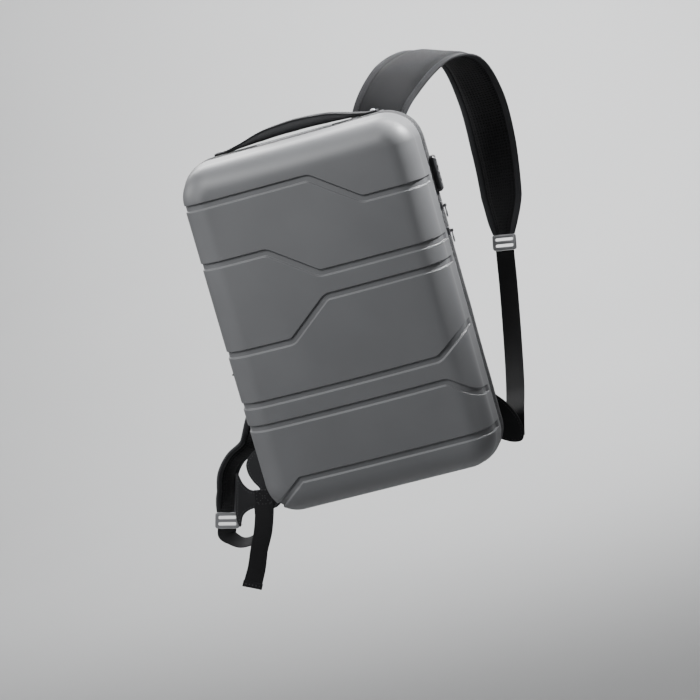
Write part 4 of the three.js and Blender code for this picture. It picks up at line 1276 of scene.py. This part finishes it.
def wing(name, node, table, side, sizes):
    """A flat cloth wing that holds the end of the webbing."""
    low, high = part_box(node)
    soft = smooth_outline([Vector((side * across * WIDTH, 0, up * HEIGHT)) for across, up in table])
    bm = bmesh.new()
    face = bm.faces.new([bm.verts.new((point.x, low.y, point.z)) for point in soft])
    made = bmesh.ops.extrude_face_region(bm, geom=[face])["geom"]
    bmesh.ops.translate(bm, vec=(0, high.y - low.y, 0),
                        verts=[v for v in made if isinstance(v, bmesh.types.BMVert)])
    bmesh.ops.recalc_face_normals(bm, faces=bm.faces)
    round_edges(bm, hard_edges(bm, 1.2), 1.1 * MM, 3)
    set_piece(name, project_cloth(bm), ["strap"], replaces=[node], sharp=60)
    rows = []
    for y, out in ((low.y - 0.05 * MM, -1), (high.y + 0.05 * MM, 1)):
        path = [Vector((point.x, y, point.z)) + inward_to(soft, i) * 3.2 * MM
                for i, point in enumerate(soft)]
        rows.append((path + path[:1], [Vector((0, out, 0))] * (len(path) + 1)))
    stitch_rows(name + "_stitches", rows, sizes)


def inward_to(points, i):
    """The direction from a point of a closed outline into it."""
    area = sum(a.x * b.z - b.x * a.z for a, b in zip(points, points[1:] + points[:1]))
    along = (points[(i + 1) % len(points)] - points[i - 1]).normalized()
    inward = Vector((-along.z, 0, along.x))
    return inward if area > 0 else -inward


# Webbing and buckles
def lock_feet(table):
    """The rows of webbing at the foot of the ladder lock that hangs on a strap's end."""
    before, end = strip_rows(table, STRAP_WIDTH, STRAP_THICK)[-2:]
    up = (before[0] - end[0]).normalized()
    wide = (end[3] - up * end[3].dot(up)).normalized()
    return [(end[0] - up * (4 * CLEAR + LOCK_HEIGHT + drop), WEBBING_WIDTH, WEBBING_THICK, wide)
            for drop in (0.0, WEBBING_WIDTH / 4)]


def seated(table, shift, seats):
    """The rows of a webbing table, with those that are sewn to a wing moved to its face."""
    rows = strip_rows(table, WEBBING_WIDTH, WEBBING_THICK)
    for seat in seats:
        rows[seat][0].y += shift
    return rows


def ribbon_section(width, thick):
    """Webbing's section, with a groove inside each edge."""
    half, full = width / 2, thick / 2
    edge = [(half, 0.0), (half - 0.12 * MM, full * 0.62), (half - 0.5 * MM, full * 0.95),
            (half - 2.2 * MM, full), (half - 2.6 * MM, full * 0.86), (half - 3.0 * MM, full * 0.97),
            (half * 0.35, full)]
    top = edge + [(-a, d) for a, d in reversed(edge)]
    return top + [(-a, -d) for a, d in top[1:-1]]


def ribbon(name, rows, steps, node):
    """Webbing along the rows of a table."""
    rings = []
    for here, wide, out, width, thick in strip_frames(rows, steps):
        rings.append([here + wide * a + out * d for a, d in ribbon_section(width, thick)])
    return set_piece(name, lofted(rings), ["webbing"], replaces=[node], sharp=50)


def cross_stitch(rows, start, end, both=False):
    """Paths of a sewn box with a cross, on webbing between two shares of its length."""
    frames = strip_frames(rows, WEBBING_STEPS)
    count = len(frames) - 1
    first = int(start * count)
    chosen = frames[first:max(int(end * count), first + 2) + 1]

    def spot(share, across, side):
        at = share * (len(chosen) - 1)
        i = min(int(at), len(chosen) - 2)
        _, wide, out, width, _ = chosen[i]
        here = chosen[i][0].lerp(chosen[i + 1][0], at - i)
        return here + wide * across * (width / 2 - 3 * MM) + out * MM * side

    paths = []
    for side in ((1, -1) if both else (1,)):
        for a, b in (((0, -1), (1, -1)), ((1, -1), (1, 1)), ((1, 1), (0, 1)), ((0, 1), (0, -1)),
                     ((0, -1), (1, 1)), ((0, 1), (1, -1))):
            path = [spot(a[0] + (b[0] - a[0]) * k / 6, a[1] + (b[1] - a[1]) * k / 6, side)
                    for k in range(7)]
            paths.append((path, [chosen[0][2] * side] * 7))
    return paths


def build_webbing(sizes):
    low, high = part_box("wing_left")
    lift = CLEAR + WEBBING_THICK / 2
    right = lock_feet(RIGHT_PAD) + seated(RIGHT_WEBBING, high.y + lift, (-1, -2, -3))
    anchor = lock_feet(LEFT_PAD) + seated(LEFT_ANCHOR, high.y + lift, (-1, -2))
    tail = seated(LEFT_TAIL, low.y - lift, (0, 1))
    ribbon("right_webbing", right, WEBBING_STEPS, "webbing_right")
    ribbon("left_slack_webbing", anchor, WEBBING_STEPS, "webbing_left_anchor")
    hanging = ribbon("left_webbing_tail", tail, WEBBING_STEPS, "webbing_left_tail")
    hem = build_hem(tail, sizes)
    length = lengths_along([frame[0] for frame in strip_frames(tail, WEBBING_STEPS)])[-1]
    wing("left_wing", "wing_left", WING_LEFT, -1, sizes)
    wing("right_wing", "wing_right", WING_RIGHT, 1, sizes)
    paths = cross_stitch(right, 0.9, 1.0) + cross_stitch(anchor, 0.93, 1.0)
    paths += cross_stitch(tail, 0.0, 0.17, both=True)
    stitch_rows("webbing_stitches", paths, sizes, length=2.2 * MM)
    for name in ("right", "left"):
        node = "ladder_lock_" + name
        set_piece(node + "_moulded", cad_copy(node, 0.9 * MM, 3), ["buckle"],
                  replaces=[node], sharp=50)


def build_hem(tail, sizes):
    """The tail's end, folded twice and sewn across."""
    before, end = tail[-2:]
    along = (end[0] - before[0]).normalized()
    reach_thick = [(CLEAR, 2.6), (HEM_LENGTH * 0.18, 3.8), (HEM_LENGTH * 0.42, 3.4),
                   (HEM_LENGTH * 0.6, 3.9), (HEM_LENGTH * 0.9, 4.1), (HEM_LENGTH + CLEAR, 2.6)]
    rows = [(end[0] + along * reach, end[1] * 1.06, thick * MM, end[3])
            for reach, thick in reach_thick]
    made = ribbon("left_webbing_hem", rows, 3, "webbing_left_hem")
    frames = strip_frames(rows, 3)
    paths = []
    for share in (0.42, 0.55):
        here, wide, out, width, thick = frames[int(share * (len(frames) - 1))]
        for side in (1, -1):
            path = [here + wide * (width / 2 - 2 * MM) * (k / 3 - 1)
                    + out * side * (thick / 2 + 0.05 * MM) for k in range(7)]
            paths.append((path, [out * side] * 7))
    stitch_rows("hem_stitches", paths, sizes, length=2.4 * MM)
    return made


# Handle
def build_handle(sizes):
    low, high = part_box("top_handle")
    span, width, middle_y = high.x - low.x, high.y - low.y, (low.y + high.y) / 2
    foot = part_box("handle_base")[1].z + CLEAR + ARCH_THICK * 0.22 / 2
    rows = [(Vector((across * span, middle_y, foot + up * ARCH_RISE)), wide * width,
             deep * ARCH_THICK, Vector((0, 1, 0))) for across, up, wide, deep in HANDLE_ARCH]
    # The outward direction is the one that points up
    frames = [(here, wide, out if out.z > 0 else -out, w, t)
              for here, wide, out, w, t in strip_frames(rows, 10)]
    rings = []
    for here, wide, out, w, t in frames:
        half, full = w / 2, t / 2
        strap = min(1.5 * MM, full)
        hang = 1.7 * MM * max(0.0, t / ARCH_THICK - 0.3)
        over = [(half, full - strap), (half - 0.2 * MM, full - 0.3 * MM), (half - 1.0 * MM, full),
                (half * 0.5, full + 0.15 * MM)]
        under = [(half * 0.55, -full - hang), (half - 1.5 * MM, -full * 0.6),
                 (half - 0.4 * MM, 0.2 * full), (half - 0.9 * MM, full - strap - 0.3 * MM)]
        profile = (over + [(0, full + 0.2 * MM)] + [(-a, d) for a, d in reversed(over)]
                   + [(-a, d) for a, d in reversed(under)] + [(0, -full - hang * 1.2)] + under)
        rings.append([here + wide * a + out * d for a, d in profile])
    made = set_piece("carry_handle", lofted(rings, paint_of=lambda i: 0 if i < 9 or i == 17 else 1),
                     ["strap", "grip"], replaces=["top_handle"], sharp=50)
    paths = []
    for side in (-1, 1):
        path = [here + wide * side * (w / 2 - 3 * MM) + out * (t / 2 + 0.2 * MM)
                for here, wide, out, w, t in frames[3:-3]]
        paths.append((path, [frame[2] for frame in frames[3:-3]]))
    stitch_rows("handle_stitches", paths, sizes)
    set_piece("handle_plate", project_cloth(cad_copy("handle_base", 0.8 * MM, 3)), ["grip"],
              replaces=["handle_base"], sharp=50)
    set_piece("bright_bar", cad_copy("top_bar", 0.9 * MM, 3), ["bar"],
              replaces=["top_bar"], sharp=50)
    for name in ("left", "right"):
        node = "handle_rivet_" + name
        low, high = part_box(node)
        middle = (low + high) / 2
        radius, tall = (high.x - low.x) / 2, high.z - low.z
        dome = [(0, 0), (1, 0), (1, 0.25), (0.92, 0.45), (0.72, 0.78), (0.4, 0.95), (0.3, 0.92),
                (0, 0.9)]
        bm = turned([(reach * radius, up * tall) for reach, up in dome],
                    Matrix.Translation((middle.x, middle.y, low.z)), 28)
        set_piece(node + "_domed", bm, ["metal"], replaces=[node], sharp=40)


# Lock, sliders and tab
def build_lock(sizes):
    low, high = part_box("lock_body")
    set_piece("lock_case", cad_copy("lock_body", 0.5 * MM, 2), ["lock"],
              replaces=["lock_body"], sharp=50)
    middle_y = (low.y + high.y) / 2
    key_z = low.z + 7.5 * MM
    turn = (Matrix.Translation((high.x - 0.4 * MM, middle_y, key_z))
            @ Matrix.Rotation(math.pi / 2, 4, "Y"))
    rings = [(0.0, 0.1), (1.1, 0.1), (1.3, 0.6), (3.0, 0.6), (3.4, 0.35), (3.4, -0.2), (0.0, -0.2)]
    key = turned([(radius * MM, up * MM) for radius, up in rings], turn)
    block(key, (0.7 * MM, 0.8 * MM, 3.4 * MM), (high.x + 0.02 * MM, middle_y, key_z), 0.15 * MM)
    set_piece("lock_key_plate", key, ["metal"], sharp=40)
    button = bmesh.new()
    block(button, (1.6 * MM, 9 * MM, 5 * MM), (high.x, middle_y, high.z - 6 * MM), 0.6 * MM, 3)
    for k in range(3):
        block(button, (0.5 * MM, 6.4 * MM, 0.5 * MM),
              (high.x + 0.85 * MM, middle_y, high.z - (4.8 + 1.2 * k) * MM), 0.15 * MM)
    set_piece("lock_button", button, ["metal"], sharp=40)
    for number in (1, 2, 3):
        dial(number, sizes)


def dial(number, sizes):
    """A knurled wheel with its numbers raised round the rim."""
    node, body = f"lock_dial_{number}", f"dial_{number}"
    low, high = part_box(node)
    middle = (low + high) / 2
    radius, tall = (high.y - low.y) / 2, high.z - low.z
    bore = 1.62 * MM
    teeth = sizes.dial_numbers
    count = teeth * 8
    half = [(radius, 0.3), (radius - 0.25 * MM, 0.42), (radius - 0.9 * MM, 0.5),
            (bore + 0.3 * MM, 0.5), (bore, 0.5)]
    rings = []
    for reach, height in [(reach, -up) for reach, up in reversed(half)] + half:
        knurl = 0.42 * MM if reach > radius - 0.5 * MM else 0.0
        ring = []
        for k in range(count):
            angle = math.tau * k / count
            spoke = reach - knurl * max(0.0, math.cos(angle * teeth)) ** 4
            ring.append(middle + Vector((math.cos(angle) * spoke, math.sin(angle) * spoke,
                                         height * tall)))
        rings.append(ring)
    set_piece(node + "_knurled", lofted(rings, looped=True), ["dial"], body=body,
              replaces=[node], sharp=50)
    upright = Matrix.Rotation(math.pi / 2, 4, "Z") @ Matrix.Rotation(math.pi / 2, 4, "X")
    figures = bmesh.new()
    for k in range(teeth):
        text = bpy.data.curves.new("figure", "FONT")
        text.body = str(k)
        text.size = 2.5 * MM
        text.align_x, text.align_y = "CENTER", "CENTER"
        text.extrude = 0.06 * MM
        spare = bpy.data.objects.new("figure", text)
        mesh = bpy.data.meshes.new_from_object(spare)
        mesh.transform(Matrix.Translation(middle)
                       @ Matrix.Rotation(math.tau * (k + 0.5) / teeth, 4, "Z")
                       @ Matrix.Translation((radius + 0.01 * MM, 0, 0)) @ upright)
        figures.from_mesh(mesh)
        bpy.data.meshes.remove(mesh)
        bpy.data.objects.remove(spare)
        bpy.data.curves.remove(text)
    bmesh.ops.remove_doubles(figures, verts=figures.verts, dist=1e-6)
    set_piece(body + "_numbers", figures, ["figure"], body=body, sharp=30)


def build_sliders(sizes):
    for name in ("upper", "lower"):
        node = "zip_slider_" + name
        low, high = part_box(node)
        middle = (low + high) / 2
        bm = cad_copy(node, 0.35 * MM, 2)
        block(bm, (1.2 * MM, 6.4 * MM, 8.4 * MM), (low.x + 2.7 * MM, middle.y, middle.z),
              0.5 * MM, 3)
        set_piece(node + "_cast", bm, ["metal"], replaces=[node], sharp=45)
        node = "zip_pull_" + name
        low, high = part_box(node)
        middle = (low + high) / 2
        bm = cad_copy(node, 0.3 * MM, 2)
        block(bm, (2.1 * MM, 3.6 * MM, 7.0 * MM), (middle.x, middle.y, low.z + 4.2 * MM),
              0.7 * MM, 3)
        for k in range(4):
            block(bm, (2.5 * MM, 2.6 * MM, 0.5 * MM),
                  (middle.x, middle.y, low.z + (2.2 + 1.3 * k) * MM), 0.15 * MM)
        set_piece(node + "_cast", bm, ["metal"], body="pull_" + name, replaces=[node],
                  sharp=45)


def build_tab(sizes):
    """A short loop of webbing sewn into the case's seam."""
    low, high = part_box("side_tab")
    middle = (low + high) / 2
    half = (high.z - low.z) / 2
    reach, width = high.x - low.x, high.y - low.y
    arm = [(0.0, 0.62), (0.5, 0.66), (0.82, 0.7), (0.97, 0.35)]
    loop = [(share, -up) for share, up in arm] + [(1.0, 0.0)] + arm[::-1]
    rows = [(Vector((high.x - share * (reach - 0.5 * MM), middle.y, middle.z + up * half)), width,
             1.0 * MM, Vector((0, 1, 0))) for share, up in loop]
    ribbon("side_loop", rows, 5, "side_tab")
    paths = []
    for out in (1, -1):
        path = [Vector((high.x - 3 * MM, low.y + width * (0.12 + 0.76 * k / 6),
                        middle.z + out * half * 1.02)) for k in range(7)]
        paths.append((path, [Vector((0, 0, out))] * 7))
    stitch_rows("side_loop_stitches", paths, sizes, length=2.2 * MM)


# Stage
def build_stage():
    """The photo's camera, the studio paper and the lamps."""
    scene = bpy.context.scene
    camera = placed("photo camera", bpy.data.cameras.new("photo camera"))
    camera.data.sensor_width = SENSOR
    camera.data.lens = FOCAL_PIXELS * SENSOR / PHOTO_PIXELS
    camera.data.clip_end = 50
    right, up = CAMERA_RIGHT, CAMERA_UP
    back = right.cross(up)
    camera.matrix_world = (Matrix.Translation(CAMERA_PLACE)
                           @ Matrix((right, up, back)).transposed().to_4x4())
    scene.camera = camera

    world = bpy.data.worlds.new("studio")
    world.use_nodes = True
    sky = world.node_tree.nodes["Background"].inputs
    sky[0].default_value = (0.9, 0.92, 0.95, 1)
    sky[1].default_value = 0.05
    scene.world = world

    floor = bmesh.new()
    bmesh.ops.create_grid(floor, x_segments=8, y_segments=60, size=15)
    for vert in floor.verts:
        vert.co.z = FLOOR_LEVEL
        reach = vert.co.y - FLOOR_BEND_START
        if reach > 0:
            turn = min(reach / FLOOR_BEND, math.pi / 2)
            vert.co.y = FLOOR_BEND_START + FLOOR_BEND * math.sin(turn)
            vert.co.z += FLOOR_BEND * (1 - math.cos(turn)) + reach - FLOOR_BEND * turn
    mesh = bpy.data.meshes.new("floor")
    floor.to_mesh(mesh)
    floor.free()
    mesh.polygons.foreach_set("use_smooth", [True] * len(mesh.polygons))
    paper = Finish("studio paper")
    tone = paper.mix(paper.grain(1.2, 3.0), (0.60, 0.605, 0.61), (0.64, 0.645, 0.65))
    mesh.materials.append(paper.dress(Base_Color=tone, Roughness=0.9))
    placed("floor", mesh)

    # Place, aim, size in metres, power in watts and spread in degrees
    lamps = {
        "overhead softbox": (right * 0.3 + up * 2.0 - back * 0.5, (0, 0, 0), 0.9, 12, 80),
        "corner softbox": (right * 1.5 + up * 2.1 - back * 0.2, (0.12, -0.1, 0.21), 0.3, 2.4, 14),
        "left softbox": (-right * 2.3 + up * 0.6 - back * 0.3, (0, 0, 0), 1.0, 5, 70),
        "left front strip": (-right * 2.3 + up * 0.1 + back * 1.5, (0, 0, 0), 0.5, 2.4, 60),
        "right front strip": (right * 2.0 + up * 0.5 + back * 1.7, (0, 0, 0), 0.3, 0.6, 60),
        "front softbox": (-right * 1.9 + up * 2.1 + back * 2.4, (0, 0, 0), 1.5, 23, 60),
        "rear softbox": (Vector((-0.8, 2.6, 2.0)), (0, 0, 0), 1.4, 14, 60),
        "backdrop lamp": (Vector((0, 3.4, 3.2)), (0, 8, -0.4), 4.0, 330, 120),
    }
    for name, (place, aim, size, power, spread) in lamps.items():
        lamp = placed(name, bpy.data.lights.new(name, "AREA"))
        lamp.data.size = size
        lamp.data.energy = power
        lamp.data.spread = math.radians(spread)
        lamp.location = place
        lamp.rotation_mode = "QUATERNION"
        lamp.rotation_quaternion = (place - Vector(aim)).to_track_quat("Z", "Y")


def operator(key, label, words, work):
    """One operator that builds a piece or a group of like pieces."""

    def execute(self, context):
        work(context.scene.backpack_sizes)
        return {"FINISHED"}

    name = "BACKPACK_OT_" + key
    return type(name, (bpy.types.Operator,), {
        "bl_idname": "backpack." + key, "bl_label": label, "__doc__": words, "execute": execute})


OPERATORS = [
    operator("shell", "Front shell", "Builds the moulded front shell with its grooves",
             build_shell),
    operator("rim", "Rim and zip", "Builds the rim strip, the zip's tapes and its coil", build_rim),
    operator("case", "Soft case", "Builds the soft case, the back panel and the back pads",
             build_case),
    operator("straps", "Shoulder straps", "Builds both padded shoulder straps", build_straps),
    operator("webbing", "Webbing", "Builds the webbing, its wings and the ladder locks",
             build_webbing),
    operator("handle", "Top handle", "Builds the handle, its plate, rivets and bar", build_handle),
    operator("lock", "Combination lock", "Builds the lock and its three dials", build_lock),
    operator("sliders", "Zip sliders", "Builds the two zip sliders and their pulls", build_sliders),
    operator("tab", "Side tab", "Builds the loop on the left side", build_tab),
    operator("stage", "Stage", "Sets the floor, the lights and the camera",
             lambda sizes: build_stage()),
]


class BACKPACK_PT_pieces(bpy.types.Panel):
    """Lists the pieces and their sizes"""

    bl_idname = "BACKPACK_PT_pieces"
    bl_label = "Backpack"
    bl_space_type = "VIEW_3D"
    bl_region_type = "UI"
    bl_category = "Backpack"

    def draw(self, context):
        for group in (context.scene.backpack_sizes, context.scene.backpack_colours):
            for key in type(group).__annotations__:
                self.layout.prop(group, key)
        for made in OPERATORS:
            self.layout.operator(made.bl_idname)


CLASSES = [BackpackSizes, BackpackColours, *OPERATORS, BACKPACK_PT_pieces]


def register():
    for made in CLASSES:
        bpy.utils.register_class(made)
    bpy.types.Scene.backpack_sizes = PointerProperty(type=BackpackSizes)
    bpy.types.Scene.backpack_colours = PointerProperty(type=BackpackColours)


def unregister():
    del bpy.types.Scene.backpack_colours
    del bpy.types.Scene.backpack_sizes
    for made in reversed(CLASSES):
        bpy.utils.unregister_class(made)


def main():
    register()
    for made in OPERATORS:
        getattr(bpy.ops.backpack, made.bl_idname.split(".")[1])()


if __name__ == "__main__":
    main()
